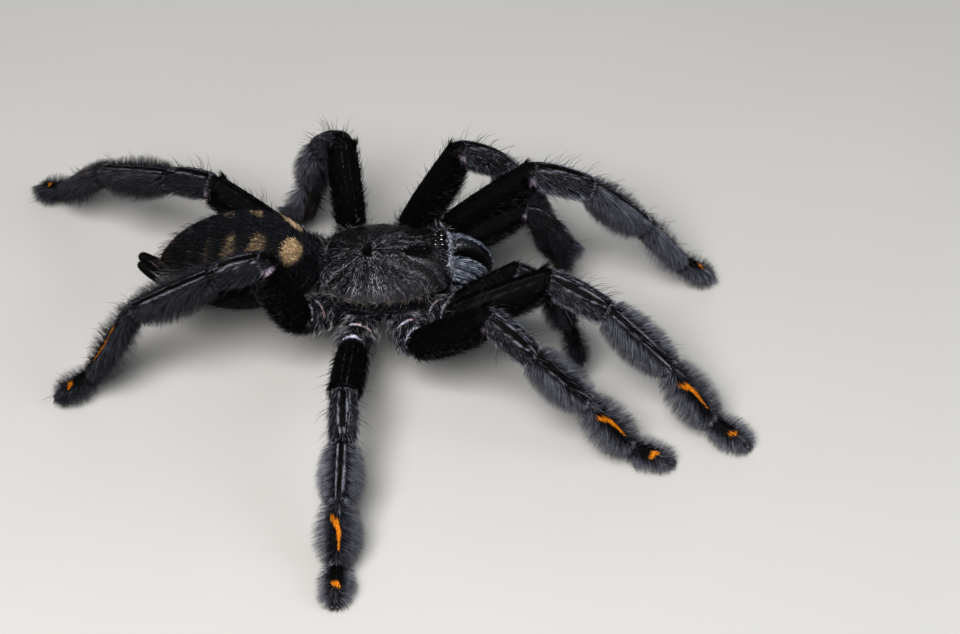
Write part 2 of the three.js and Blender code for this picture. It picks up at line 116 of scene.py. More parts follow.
FACING_FORWARDS = (0, math.pi / 2, 0)    # turns a primitive's own axis from +Z to +X
GROUND_GAP = 0.02                        # soft parts end this far over the floor


def deselect_all():
    if bpy.context.object is not None and bpy.context.object.mode != "OBJECT":
        bpy.ops.object.mode_set(mode="OBJECT")
    bpy.ops.object.select_all(action="DESELECT")


def select_only(*pieces):
    deselect_all()
    for piece in pieces:
        piece.select_set(True)
    bpy.context.view_layer.objects.active = pieces[0]


def apply_modifier(piece, name, kind, **settings):
    modifier = piece.modifiers.new(name, kind)
    for key, value in settings.items():
        setattr(modifier, key, value)
    select_only(piece)
    bpy.ops.object.modifier_apply(modifier=modifier.name)


def apply_place(piece):
    select_only(piece)
    bpy.ops.object.transform_apply(location=True, rotation=True, scale=True)


def join(name, pieces):
    select_only(*pieces)
    if len(pieces) > 1:
        bpy.ops.object.join()
    pieces[0].name = name
    return pieces[0]


def copy_of(piece, name):
    copied = piece.copy()
    copied.data = piece.data.copy()
    copied.name = name
    bpy.context.collection.objects.link(copied)
    return copied


def read_points(mesh):
    points = np.empty(len(mesh.vertices) * 3)
    mesh.vertices.foreach_get("co", points)
    return points.reshape(-1, 3)


def write_points(mesh, points):
    mesh.vertices.foreach_set("co", np.ascontiguousarray(points, dtype=np.float64).ravel())
    mesh.update()


def write_colours(mesh, name, colours):
    layer = mesh.color_attributes.new(name, "FLOAT_COLOR", "POINT")
    filled = np.ones((len(colours), 4))
    filled[:, :colours.shape[1]] = colours
    layer.data.foreach_set("color", filled.ravel())


def write_vectors(mesh, name, vectors):
    layer = mesh.attributes.new(name, "FLOAT_VECTOR", "POINT")
    layer.data.foreach_set("vector", np.ascontiguousarray(vectors, dtype=np.float64).ravel())


def read_vectors(mesh, name):
    vectors = np.empty(len(mesh.vertices) * 3)
    mesh.attributes[name].data.foreach_get("vector", vectors)
    return vectors.reshape(-1, 3)


def settle(piece, material, slot, *nodes):
    """Finish a piece: into the frame's metres, smooth, coloured, riding on the body."""
    piece.data.transform(TO_FRAME)
    piece.data.polygons.foreach_set("use_smooth", np.ones(len(piece.data.polygons), dtype=bool))
    piece.data.materials.clear()
    piece.data.materials.append(material)
    piece.data.update()
    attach(piece, "root")
    if nodes:
        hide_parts(*nodes)
    return piece


def smooth_step(low, high, value):
    t = np.clip((value - low) / (high - low), 0.0, 1.0)
    return t * t * (3 - 2 * t)


def band(value, low, high, soft):
    return smooth_step(low - soft, low + soft, value) * (1 - smooth_step(high - soft, high + soft, value))


def unit(vectors):
    length = np.linalg.norm(vectors, axis=-1, keepdims=True)
    return vectors / np.maximum(length, 1e-9)


def put_in_order(mesh):
    """Sort the corners and faces by place, because extruding leaves them in a new order each run."""
    places = [tuple(corner.co) for corner in mesh.vertices]
    order = sorted(range(len(places)), key=lambda index: places[index])
    rank = {old: new for new, old in enumerate(order)}
    faces = []
    for polygon in mesh.polygons:
        loop = [rank[corner] for corner in polygon.vertices]
        start = loop.index(min(loop))
        faces.append(loop[start:] + loop[:start])
    mesh.clear_geometry()
    mesh.from_pydata([places[index] for index in order], [], sorted(faces))
    mesh.update()


def pull_tube(name, stations, corners=10, levels=2):
    """A closed tube pulled out ring by ring. Stations: centre, slope, half width, height, depth."""
    # Subdivision pulls a ring of few corners inwards, so the ring starts this much larger.
    swell = 6 / (4 + 2 * math.cos(2 * math.pi / corners))
    deselect_all()
    bpy.ops.mesh.primitive_circle_add(
        vertices=corners, radius=1.0, fill_type="NGON", rotation=FACING_FORWARDS)
    tube = bpy.context.object
    tube.name = name
    apply_place(tube)
    bpy.ops.object.mode_set(mode="EDIT")
    bpy.ops.mesh.select_all(action="SELECT")
    before_centre = Vector((0, 0, 0))
    before_slope = 0.0
    before_size = (1.0, 1.0)
    for index, (centre, slope, half_width, height, depth) in enumerate(stations):
        size = (half_width * swell, (height + depth) / 2 * swell)
        raised = Vector(centre) + Vector((-math.sin(slope), 0, math.cos(slope))) * (height - depth) / 2
        step = raised - before_centre
        if index:
            bpy.ops.mesh.extrude_region_move(TRANSFORM_OT_translate={"value": step})
        else:
            bpy.ops.transform.translate(value=step)
        if before_slope:
            bpy.ops.transform.rotate(value=-before_slope, orient_axis="Y", center_override=raised)
        ratio = (1.0, size[0] / before_size[0], size[1] / before_size[1])
        bpy.ops.transform.resize(value=ratio, center_override=raised)
        if slope:
            bpy.ops.transform.rotate(value=slope, orient_axis="Y", center_override=raised)
        before_centre = raised
        before_slope = slope
        before_size = size
    bpy.ops.mesh.select_all(action="SELECT")
    bpy.ops.mesh.normals_make_consistent(inside=False)
    bpy.ops.object.mode_set(mode="OBJECT")
    put_in_order(tube.data)
    apply_modifier(tube, "Round", "SUBSURF", levels=levels, render_levels=levels)
    return tube


def along_path(path):
    """Stations of a tube from a path of (x, z, radius) in an upright plane."""
    stations = []
    for index, (x, z, radius) in enumerate(path):
        back = path[max(index - 1, 0)]
        ahead = path[min(index + 1, len(path) - 1)]
        slope = math.atan2(ahead[1] - back[1], ahead[0] - back[0])
        stations.append(((x, 0, z), slope, radius, radius, radius))
    return stations


# ---------------------------------------------------------------- the limbs' bones


def limb_kind(name):
    return "palp" if name.startswith("palp") else name[-1]


def limb_side(name):
    return 1 if POSE[name]["hip"][1] > 0 else -1


def limb_joints(name):
    """The joint points from the breastplate to the toe's tip."""
    pose = POSE[name]
    kind = limb_kind(name)
    lengths = PALP_LENGTHS if kind == "palp" else LEG_LENGTHS[kind]
    rises = [0 if lift is None else length * math.sin(math.radians(lift))
             for length, lift in zip(lengths, pose["lift"])]
    if None in pose["lift"]:
        rises[pose["lift"].index(None)] = TIP_HEIGHT - pose["hip"][2] - sum(rises)
    joints = [np.array([HIP_ROOT_X[kind], limb_side(name) * HIP_ROOT_Y, HIP_ROOT_Z]), np.array(pose["hip"])]
    for length, rise, turn in zip(lengths, rises, pose["turn"]):
        reach = math.sqrt(length ** 2 - rise ** 2)
        heading = math.radians(turn)
        joints.append(joints[-1] + np.array([reach * math.cos(heading), reach * math.sin(heading), rise]))
    return np.array(joints)


ROUND_JOINT = 0.75                   # the outside of a bend reaches this far past the joint
MITRE_REACH = 3.6                    # a bend changes the skin this far from the joint


class Limb:
    """One limb's joints, and the directions of its segments: along, to its own left, and up."""

    def __init__(self, name):
        self.name = name
        self.kind = limb_kind(name)
        self.side = limb_side(name)
        self.girth = GIRTH[self.kind]
        self.roll = math.radians(ROLL.get(name, 0.0))
        self.joints = limb_joints(name)
        steps = np.diff(self.joints, axis=0)
        self.lengths = np.linalg.norm(steps, axis=1)
        self.along = unit(steps)
        self.across = unit(np.stack([-self.along[:, 1], self.along[:, 0], np.zeros(len(steps))], axis=1))
        self.up = np.cross(self.along, self.across)
        before = np.concatenate([self.along[:1], self.along])
        after = np.concatenate([self.along, self.along[-1:]])
        self.joint_planes = unit(before + after)

    def segment_of(self, place):
        return np.clip(np.floor(place).astype(int), 0, len(self.lengths) - 1)

    def bend_onto(self, place, across, up):
        """Where a straight limb's points go. place counts segments from the limb's root."""
        segment = self.segment_of(place)
        length = self.lengths[segment]
        travel = (place - segment) * length
        across = across * self.girth
        up = up * self.girth
        shift = np.zeros_like(travel)
        for joint, distance in ((segment, travel), (segment + 1, length - travel)):
            plane = self.joint_planes[joint]
            lean = (plane * self.across[segment]).sum(1) * across + (plane * self.up[segment]).sum(1) * up
            facing = (plane * self.along[segment]).sum(1)
            weight = np.clip(1 - distance / MITRE_REACH, 0, 1)
            outwards = np.where(joint == segment, -1.0, 1.0)
            stretch = np.minimum(-lean / facing * outwards, ROUND_JOINT)
            shift += stretch * outwards * weight
        travel = travel + shift
        return (self.joints[segment] + self.along[segment] * travel[:, None]
                + self.across[segment] * across[:, None] + self.up[segment] * up[:, None])


# How far some legs are rolled about their own length, in degrees, towards the front.
ROLL = {"leg_r1": 20.0, "leg_r2": 24.0, "leg_r4": -9.0}
LIMBS = {name: Limb(name) for name in POSE}

# ---------------------------------------------------------------- markings

BLACK = np.array([0.0027, 0.0026, 0.0028])
SKIN_GREY = np.array([0.013, 0.0135, 0.0155])
UNDERFUR = np.array([0.020, 0.021, 0.027])
SETA_GREY = np.array([0.150, 0.155, 0.190])
SETA_LIGHT = np.array([0.52, 0.535, 0.61])
PALE_LINE = np.array([0.46, 0.47, 0.54])
RIM_WHITE = np.array([0.52, 0.53, 0.64])
RIM_ROSE = np.array([0.36, 0.20, 0.16])
MEMBRANE = np.array([0.31, 0.26, 0.32])
ORANGE = np.array([0.97, 0.36, 0.02])
SCOPULA = np.array([0.060, 0.047, 0.042])
TAN = np.array([0.46, 0.335, 0.205])
CREAM = np.array([0.72, 0.59, 0.41])
SILVER = np.array([0.33, 0.33, 0.35])
FRINGE = np.array([0.30, 0.27, 0.245])
FUR_GREY = np.array([0.36, 0.35, 0.40])
RUST = np.array([0.22, 0.10, 0.045])

HIP, THIGH, KNEE, SHIN, FOOT, TOE = range(6)


def blend(base, colour, mask):
    return base * (1 - mask[:, None]) + colour * mask[:, None]


def limb_part(place, kind):
    """Which segment, and how far along it. A palp has no long foot."""
    part = np.clip(np.floor(place).astype(int), 0, 4 if kind == "palp" else 5)
    t = place - part
    if kind == "palp":
        part = np.where(part == FOOT, TOE, part)
    return part, t


def by_part(part, hip, thigh, knee, shin, foot, toe):
    return np.array([hip, thigh, knee, shin, foot, toe], dtype=float)[part]


def stripe_distance(t, arc, path, length):
    """Distance in millimetres, less the stripe's half width, to a path of (t, arc, half width)."""
    nearest = np.full(t.shape, 1e3)
    for (t0, a0, w0), (t1, a1, w1) in zip(path, path[1:]):
        span_t = (t1 - t0) * length
        span_a = a1 - a0
        foot = ((t - t0) * length * span_t + (arc - a0) * span_a) / (span_t ** 2 + span_a ** 2)
        foot = np.clip(foot, 0, 1)
        gap = np.hypot((t - t0) * length - foot * span_t, arc - a0 - foot * span_a)
        nearest = np.minimum(nearest, gap - (w0 + (w1 - w0) * foot))
    return nearest


# Markings as paths of (place along the segment, millimetres to the front of its ridge, half width).
FOOT_STRIPE = [(0.20, -1.30, 0.22), (0.25, -1.00, 0.31), (0.33, -0.25, 0.34), (0.42, 0.10, 0.30),
               (0.58, 0.20, 0.21), (0.76, 0.12, 0.07)]
TOE_SPOT = [(0.50, -0.52, 0.24), (0.53, 0.05, 0.38), (0.57, 0.50, 0.28)]
PALE_LINES = {
    THIGH: [[(0.10, 0.42, 0.015), (0.50, 0.50, 0.025), (0.97, 0.42, 0.030)],
            [(0.25, -0.60, 0.010), (0.65, -0.62, 0.020), (0.95, -0.50, 0.025)]],
    KNEE: [[(0.06, -0.50, 0.02), (0.30, -0.80, 0.06), (0.62, -0.68, 0.07), (0.92, -0.18, 0.03)],
           [(0.06, 0.38, 0.03), (0.35, 0.66, 0.07), (0.70, 0.52, 0.075), (0.95, 0.12, 0.04)],
           [(0.08, 0.90, 0.02), (0.42, 1.22, 0.05), (0.85, 0.80, 0.03)]],
    SHIN: [[(0.05, 0.52, 0.035), (0.30, 0.62, 0.055), (0.60, 0.56, 0.050), (0.96, 0.40, 0.035)],
           [(0.05, -0.52, 0.035), (0.30, -0.62, 0.055), (0.60, -0.56, 0.050), (0.96, -0.40, 0.035)],
           [(0.08, 0.95, 0.02), (0.45, 0.88, 0.035), (0.85, 0.70, 0.02)]],
    FOOT: [[(0.03, 0.30, 0.03), (0.22, 0.20, 0.02)], [(0.03, -0.32, 0.03), (0.20, -0.28, 0.02)]],
}


def limb_marks(place, across, up, limb):
    """Masks of a limb's markings at points of the straight limb."""
    part, t = limb_part(place, limb.kind)
    bearing = np.arctan2(-limb.side * across, up)
    angle = (bearing + limb.roll * (part > HIP) + math.pi) % (2 * math.pi) - math.pi
    arc = angle * np.maximum(np.hypot(across, up), 0.8)
    to_side = np.abs(angle)
    foot_length = limb.lengths[min(FOOT, len(limb.lengths) - 1)]
    marks = {"part": part, "t": t, "bearing": bearing, "angle": angle, "arc": arc, "place": place}
    orange = np.zeros_like(t)
    if limb.kind != "palp":
        ragged = 0.07 * np.sin(arc * 31 + t * 57) + 0.06 * np.sin(arc * 13 - t * 91)
        ragged = ragged * np.where(part == TOE, 2.0, 1.0)
        for shown_part, path, length in ((FOOT, FOOT_STRIPE, foot_length), (TOE, TOE_SPOT, limb.lengths[-1])):
            gap = stripe_distance(t, arc, path, length) + ragged
            orange = np.where(part == shown_part, 1 - smooth_step(-0.05, 0.05, gap), orange)
    marks["orange"] = orange
    # Bare pale lines along the ridge.
    line = np.zeros_like(t)
    wave = 0.025 * np.sin(place * 31) + 0.012 * np.sin(place * 83)
    for shown_part, paths in PALE_LINES.items():
        for path in paths:
            gap = stripe_distance(t, arc + wave, path, limb.lengths[min(shown_part, len(limb.lengths) - 1)])
            line = np.maximum(line, np.where(part == shown_part, 1 - smooth_step(-0.03, 0.05, gap), 0.0))
    marks["line"] = line
    # Short black velvet: thighs, the ridge of the other segments, and the toe's base.
    ridge = 1 - smooth_step(0.55, 0.8, np.abs(arc))
    knee_ridge = 1 - smooth_step(0.75, 1.0, np.abs(arc))
    foot_ridge = (1 - smooth_step(0.35, 0.65, np.abs(arc + 0.25))) * band(t, 0.10, 0.88, 0.08)
    toe_base = (1 - smooth_step(0.75, 1.05, np.abs(arc))) * (1 - smooth_step(0.46, 0.56, t))
    marks["velvet"] = np.select([part == THIGH, part == KNEE, part == SHIN, part == FOOT, part == TOE],
                                [np.ones_like(t), knee_ridge, ridge, foot_ridge, toe_base], 0.0)
    # Pale edges of the hip's two rings, widest on top, and of the knee piece.
    crest = np.clip(np.cos(angle * 1.2), 0, 1) * (to_side < 1.3)
    torn = 0.012 * np.sin(angle * 17 + limb.roll * 9) + 0.009 * np.sin(angle * 37 + 2)
    outer_ring = band(t, 0.970 - 0.060 * crest ** 3 + torn, 0.972, 0.006) * (crest > 0.05)
    inner_ring = band(t, 0.618, 0.630 + 0.022 * crest + torn * 0.5, 0.006) * (crest > 0.05)
    slight = {"palp": 0.3, "1": 0.55}.get(limb.kind, 1.0)
    marks["rim"] = np.maximum(outer_ring, inner_ring) * (part == HIP) * slight
    marks["rose"] = inner_ring * (part == HIP) * smooth_step(-0.6, 0.3, angle)
    jagged = 0.012 * np.sin(angle * 23) + 0.008 * np.sin(angle * 41 + 1)
    near_edge = band(t, 0.016, 0.060 + jagged, 0.006) * (1 - smooth_step(1.5, 1.9, to_side))
    far_edge_at = 0.955 - 0.020 * to_side ** 2
    far_edge = band(t, far_edge_at - 0.045, far_edge_at, 0.012) * band(to_side, 0.35, 1.7, 0.2) * 0.55
    marks["edge"] = np.maximum(near_edge, far_edge) * (part == KNEE)
    marks["joint"] = np.maximum((1 - smooth_step(0.012, 0.03, t)) * (part > HIP) * (part <= FOOT),
                                smooth_step(0.975, 0.99, t) * (part < FOOT))
    # The soft skin of the knee's bend shows pinkish white low on each side.
    knee_start = (1 - smooth_step(0.05, 0.09, t)) * (part == KNEE)
    thigh_end = smooth_step(0.955, 0.98, t) * (part == THIGH)
    at_bend = np.maximum(knee_start, thigh_end)
    marks["membrane"] = at_bend * band(to_side, 1.3, 2.5, 0.3)
    marks["under"] = smooth_step(1.85, 2.25, to_side)
    collar = band(t, 0.93, 0.972, 0.012) * by_part(part, 0, 0, 0.6, 1, 1, 0)
    collar = collar * (1 - smooth_step(1.4, 1.9, to_side))
    marks["collar"] = collar if limb.kind != "palp" else collar * 0.4
    return marks


def limb_skin_colour(marks):
    part = marks["part"]
    colour = np.where((part == THIGH)[:, None], BLACK, SKIN_GREY)
    colour = blend(colour, BLACK, marks["velvet"])
    colour = blend(colour, SCOPULA, marks["under"] * (part >= FOOT))
    colour = blend(colour, PALE_LINE * 0.4, marks["line"] * np.where(part == THIGH, 0.15, 1.0))
    colour = blend(colour, BLACK, marks["joint"])
    colour = blend(colour, MEMBRANE, marks["membrane"])
    colour = blend(colour, RIM_WHITE, marks["rim"])
    colour = blend(colour, RIM_ROSE, marks["rose"] * 0.7)
    return blend(colour, ORANGE * 0.5, marks["orange"])


# ---------------------------------------------------------------- skin of the limbs

SEGMENT = 10.0                       # length of every segment on the straight limb

# The skin of a straight leg: place, half width, height over the axis, depth under it.
LEG_SKIN = [
    (0.00, 1.60, 1.60, 1.60), (0.06, 2.15, 2.10, 2.10), (0.30, 2.35, 2.15, 2.35), (0.56, 2.45, 2.20, 2.40),
    (0.62, 2.34, 2.14, 2.30), (0.64, 1.95, 1.85, 1.90), (0.67, 1.95, 1.85, 1.90), (0.70, 2.30, 2.10, 2.25),
    (0.82, 2.42, 2.20, 2.35), (0.94, 2.34, 2.16, 2.25), (0.975, 2.15, 2.05, 2.05), (0.985, 1.78, 1.72, 1.70),
    (1.01, 1.70, 1.66, 1.65), (1.03, 2.00, 2.05, 2.10), (1.10, 2.20, 2.25, 2.50), (1.35, 2.30, 2.50, 3.05),
    (1.70, 2.25, 2.40, 2.80), (1.90, 2.15, 2.20, 2.30), (1.965, 2.14, 2.14, 2.05), (1.98, 2.02, 2.02, 1.88),
    (1.988, 1.72, 1.76, 1.50), (2.01, 1.66, 1.72, 1.48), (2.035, 1.95, 2.05, 1.70), (2.15, 2.15, 2.35, 1.90),
    (2.50, 2.20, 2.60, 2.00), (2.85, 2.00, 2.15, 1.85), (2.965, 1.94, 1.85, 1.78), (2.985, 1.62, 1.56, 1.52),
    (3.01, 1.50, 1.46, 1.44), (3.04, 1.72, 1.66, 1.66), (3.20, 1.80, 1.70, 1.80), (3.60, 1.70, 1.65, 1.72),
    (3.90, 1.55, 1.50, 1.55), (3.97, 1.52, 1.46, 1.48), (3.985, 1.30, 1.26, 1.26), (4.01, 1.15, 1.10, 1.10),
    (4.04, 1.36, 1.30, 1.30), (4.20, 1.45, 1.36, 1.40), (4.60, 1.40, 1.30, 1.35), (4.90, 1.30, 1.24, 1.25),
    (4.97, 1.28, 1.20, 1.20), (4.985, 1.08, 1.00, 1.00), (5.015, 1.00, 0.90, 0.95), (5.05, 1.20, 1.05, 1.05),
    (5.30, 1.36, 1.15, 1.15), (5.70, 1.30, 1.00, 1.08), (5.92, 1.00, 0.70, 0.82), (6.00, 0.50, 0.35, 0.45),
]
# A palp has the leg's skin without the long foot.
PALP_SKIN = [row for row in LEG_SKIN if row[0] < 4.0]
PALP_SKIN += [(row[0] - 1, *row[1:]) for row in LEG_SKIN if row[0] > 5.0]


def straight_limb(name, rows):
    stations = [((place * SEGMENT, 0, 0), 0.0, *sizes) for place, *sizes in rows]
    return pull_tube(name, stations, corners=10, levels=2)


def limb_skin(limb, straight):
    """A copy of the straight limb, bent onto the limb's joints, with its markings."""
    piece = copy_of(straight, "skin_" + limb.name)
    points = read_points(piece.data)
    place = np.clip(points[:, 0] / SEGMENT, 0.0, len(limb.lengths))
    marks = limb_marks(place, points[:, 1], points[:, 2], limb)
    bent = limb.bend_onto(place, points[:, 1], points[:, 2])
    bent[:, 2] = np.maximum(bent[:, 2], GROUND_GAP)
    write_points(piece.data, bent)
    write_colours(piece.data, "tint", limb_skin_colour(marks))
    write_vectors(piece.data, "place", np.stack([place, points[:, 1], points[:, 2]], axis=1))
    grain = np.stack([place * 10.0, marks["arc"], np.zeros_like(place)], axis=1)
    write_vectors(piece.data, "grain", grain)
    return piece


# ---------------------------------------------------------------- shapes of the body


def carapace_half_width(x):
    rear = np.clip((x - CARAPACE_REAR) / 8.2, 0, 1)
    front = np.clip((x + 1.2) / (CARAPACE_FRONT + 1.2), 0, 1)
    back_curve = 0.42 + 0.58 * np.sqrt(1 - (1 - rear) ** 2)
    front_curve = 1 - 0.36 * front ** 1.5 - 0.14 * front ** 12
    return CARAPACE_HALF_WIDTH * back_curve * front_curve


def eye_hill_rise(x, y):
    inside = 1 - ((x - EYE_HILL["x"]) / EYE_HILL["length"]) ** 2 - (y / EYE_HILL["width"]) ** 2
    return np.where(inside > 0, EYE_HILL["z"] + EYE_HILL["height"] * np.sqrt(np.maximum(inside, 0)), -1e3)


def carapace_top(x, y, half_width):
    out = np.clip(np.abs(y) / half_width, 0, 1)
    along = (x - CARAPACE_REAR) / (CARAPACE_FRONT - CARAPACE_REAR)
    rear_slope = np.clip(along / 0.34, 0, 1) ** 0.7
    front_slope = 1 - 0.22 * np.clip((along - 0.9) / 0.1, 0, 1) ** 2
    thorax = THORAX_RISE * rear_slope * (1 - out ** 2.4)
    ahead = np.clip((x - FOVEA_X) / (CARAPACE_FRONT - FOVEA_X), 0, 1)
    head_half_width = 1.4 + 4.2 * ahead ** 0.8
    on_head = smooth_step(FOVEA_X - 0.4, FOVEA_X + 5.5, x)
    head_edge = smooth_step(0, 1.9, head_half_width + 0.9 - np.abs(y))
    head = (HEAD_RISE - THORAX_RISE) * on_head * head_edge
    pit = 0.95 * np.exp(-(((x - FOVEA_X) / 0.55) ** 2) - ((y / 1.25) ** 2))
    # Shallow valleys run out from the pit between the muscles of the legs.
    bearing = np.arctan2(np.abs(y), x - FOVEA_X)
    distance = np.hypot(x - FOVEA_X, y)
    valleys = np.zeros_like(x)
    for valley in (0.62, 1.12, 1.62, 2.12, 2.62):
        valleys += np.exp(-((bearing - valley) / 0.11) ** 2)
    valleys *= 0.26 * band(distance, 1.6, 7.2, 1.0) * (1 - out ** 6)
    return RIM_HEIGHT + (thorax + head - pit * rear_slope - valleys * rear_slope) * front_slope


def abdomen_axis(along):
    return ABDOMEN_AXIS - 1.3 * np.clip((along - 0.7) / 0.3, 0, 1) ** 2 - 1.0 * (1 - along) ** 3


def abdomen_size(along):
    to_end = np.abs(along - 0.5) * 2
    power = np.where(along < 0.5, 1.65, 2.5)
    return np.sqrt(np.maximum(1 - to_end ** power, 0.0))


ABDOMEN_COAT = 0.45                  # depth of the coat over the abdomen's skin
ABDOMEN_TWIST = -0.03                # how far its markings are turned towards its left


def abdomen_point(along, angle):
    """A point of the abdomen's skin: along from rear to front, angle from the top to its left."""
    size = np.maximum(abdomen_size(along), 0.0)
    x = ABDOMEN_REAR + ABDOMEN_COAT + (ABDOMEN_FRONT - ABDOMEN_REAR - ABDOMEN_COAT) * along
    height = np.where(np.cos(angle) > 0, 1.0, 0.94) * ABDOMEN_HALF_HEIGHT
    y = np.sin(angle) * np.maximum(ABDOMEN_HALF_WIDTH * size - ABDOMEN_COAT, 0)
    z = abdomen_axis(along) + np.cos(angle) * np.maximum(height * size - ABDOMEN_COAT, 0)
    return np.stack([x, y, z], axis=-1)


# Paired tan patches of the abdomen: place from rear to front, degrees from the top, half length
# in place, half width in degrees, lean, strength.
ABDOMEN_PATCHES = [
    (0.835, 34, 0.064, 23, 0.22, 1.0), (0.618, 35, 0.050, 20, 0.22, 0.52), (0.445, 37, 0.036, 25, 0.18, 0.38),
    (0.310, 36, 0.024, 18, 0.12, 0.14), (0.20, 35, 0.018, 14, 0.1, 0.06),
]


def abdomen_marks(along, angle):
    degrees = np.degrees(np.abs(angle + ABDOMEN_TWIST))
    patches = np.zeros_like(along)
    for place, middle, half_length, half_width, lean, strength in ABDOMEN_PATCHES:
        moved = along - place + lean * (degrees - middle) / 180
        inside = (moved / half_length) ** 2 + ((degrees - middle) / half_width) ** 2
        patches = np.maximum(patches, strength * (1 - smooth_step(0.55, 1.25, inside)))
    return patches


def abdomen_colour(along, angle):
    patches = abdomen_marks(along, angle)
    side = smooth_step(1.3, 2.2, np.abs(angle))
    colour = np.broadcast_to(BLACK * 1.3, (len(along), 3))
    colour = blend(colour, np.array([0.009, 0.0085, 0.0085]), side * 0.8)
    return blend(colour, TAN * 0.6, patches * 0.8)


# The jaw's and the fang's middle lines: x, z and radius.
JAW_PATH = [
    (9.2, 16.6, 2.9), (10.8, 16.6, 3.2), (12.6, 15.7, 3.15),
    (13.7, 14.2, 2.8), (13.9, 12.3, 2.3), (13.7, 10.6, 1.8),
]
JAW_SIDE = 2.3
JAW_HALF_WIDTH = 2.1
JAW_COAT = 0.3
FANG_PATH = [(14.3, 9.35, 0.95), (13.6, 8.45, 0.85), (12.5, 7.9, 0.68), (11.3, 7.9, 0.48), (10.3, 8.3, 0.28)]


# ---------------------------------------------------------------- materials


def new_material(name):
    material = bpy.data.materials.new(name)
    material.use_nodes = True
    nodes = material.node_tree.nodes
    return material, nodes, material.node_tree.links, nodes["Principled BSDF"]


def attribute_node(nodes, name):
    node = nodes.new("ShaderNodeAttribute")
    node.attribute_name = name
    return node


def noise_node(nodes, scale, detail=3.0, roughness=0.55):
    node = nodes.new("ShaderNodeTexNoise")
    node.inputs["Scale"].default_value = scale
    node.inputs["Detail"].default_value = detail
    node.inputs["Roughness"].default_value = roughness
    return node


def mapping_node(nodes, scale):
    node = nodes.new("ShaderNodeMapping")
    node.inputs["Scale"].default_value = scale
    return node


def ramp_node(nodes, low, high, dark, light):
    node = nodes.new("ShaderNodeValToRGB")
    node.color_ramp.elements[0].position = low
    node.color_ramp.elements[1].position = high
    node.color_ramp.elements[0].color = (*dark, 1)
    node.color_ramp.elements[1].color = (*light, 1)
    return node


def multiply_node(nodes, links, first, second, factor=1.0):
    node = nodes.new("ShaderNodeMix")
    node.data_type = "RGBA"
    node.blend_type = "MULTIPLY"
    node.inputs[0].default_value = factor
    links.new(first, node.inputs[6])
    links.new(second, node.inputs[7])
    return node.outputs[2]


def bump_node(nodes, links, height, strength, distance):
    node = nodes.new("ShaderNodeBump")
    node.inputs["Strength"].default_value = strength
    node.inputs["Distance"].default_value = distance
    links.new(height, node.inputs["Height"])
    return node


def grain_noise(nodes, links, stretch, scale, detail, roughness):
    """Noise in the piece's own grain, drawn out along it."""
    grain = attribute_node(nodes, "grain")
    mapping = mapping_node(nodes, stretch)
    links.new(grain.outputs["Vector"], mapping.inputs["Vector"])
    noise = noise_node(nodes, scale, detail, roughness)
    links.new(mapping.outputs["Vector"], noise.inputs["Vector"])
    return noise.outputs["Fac"]


def object_noise(nodes, links, scale, detail=2.0):
    place = nodes.new("ShaderNodeTexCoord")
    noise = noise_node(nodes, scale, detail)
    links.new(place.outputs["Object"], noise.inputs["Vector"])
    return noise.outputs["Fac"]


def shade_tint(nodes, links, shader, noise, low, high, dark, light):
    """The painted tint, darkened and lightened by a noise."""
    tint = attribute_node(nodes, "tint")
    shade = ramp_node(nodes, low, high, dark, light)
    links.new(noise, shade.inputs["Fac"])
    shaded = multiply_node(nodes, links, tint.outputs["Color"], shade.outputs["Color"])
    links.new(shaded, shader.inputs["Base Color"])


def bump_surface(nodes, links, shader, noise, strength, distance):
    bump = bump_node(nodes, links, noise, strength, distance)
    links.new(bump.outputs["Normal"], shader.inputs["Normal"])


def vary_roughness(nodes, links, shader, noise, smoothest, roughest):
    rough = nodes.new("ShaderNodeMapRange")
    rough.inputs["To Min"].default_value = smoothest
    rough.inputs["To Max"].default_value = roughest
    links.new(noise, rough.inputs["Value"])
    links.new(rough.outputs["Result"], shader.inputs["Roughness"])


def skin_material():
    """Dark cuticle with the markings painted in, broken up by the roots of the short fur."""
    material, nodes, links, shader = new_material("skin")
    fur = grain_noise(nodes, links, (0.5, 3.0, 1.0), 3.4, 4.0, 0.65)
    shade_tint(nodes, links, shader, fur, 0.3, 0.72, (0.45, 0.45, 0.47), (1.25, 1.25, 1.25))
    bump_surface(nodes, links, shader, fur, 0.55, 0.00025)
    vary_roughness(nodes, links, shader, object_noise(nodes, links, 2600.0), 0.34, 0.62)
    shader.inputs["Specular IOR Level"].default_value = 0.12
    return material


def coat_material(name, roughness, specular):
    """Hair: the colour of each strand, with faint bands along it."""
    material, nodes, links, shader = new_material(name)
    bands = object_noise(nodes, links, 900.0)
    shade_tint(nodes, links, shader, bands, 0.35, 0.68, (0.72, 0.72, 0.74), (1.18, 1.17, 1.15))
    shader.inputs["Roughness"].default_value = roughness
    shader.inputs["Specular IOR Level"].default_value = specular
    return material


def shell_material(name, roughness, bump_strength, grain_scale, specular):
    """Plates of cuticle: tinted, finely pitted, with a soft gloss."""
    material, nodes, links, shader = new_material(name)
    streaks = grain_noise(nodes, links, (0.35, 1.0, 1.0), grain_scale, 4.0, 0.6)
    shade_tint(nodes, links, shader, streaks, 0.32, 0.7, (0.5, 0.5, 0.52), (1.3, 1.3, 1.28))
    bump_surface(nodes, links, shader, streaks, bump_strength, 0.0002)
    fine = object_noise(nodes, links, 1800.0)
    vary_roughness(nodes, links, shader, fine, roughness - 0.08, roughness + 0.1)
    shader.inputs["Specular IOR Level"].default_value = specular
    return material


def two_tones(nodes, links, shader, scale, detail, low, high, dark, light):
    """Clouds of two close colours."""
    tones = ramp_node(nodes, low, high, dark, light)
    links.new(object_noise(nodes, links, scale, detail), tones.inputs["Fac"])
    links.new(tones.outputs["Color"], shader.inputs["Base Color"])


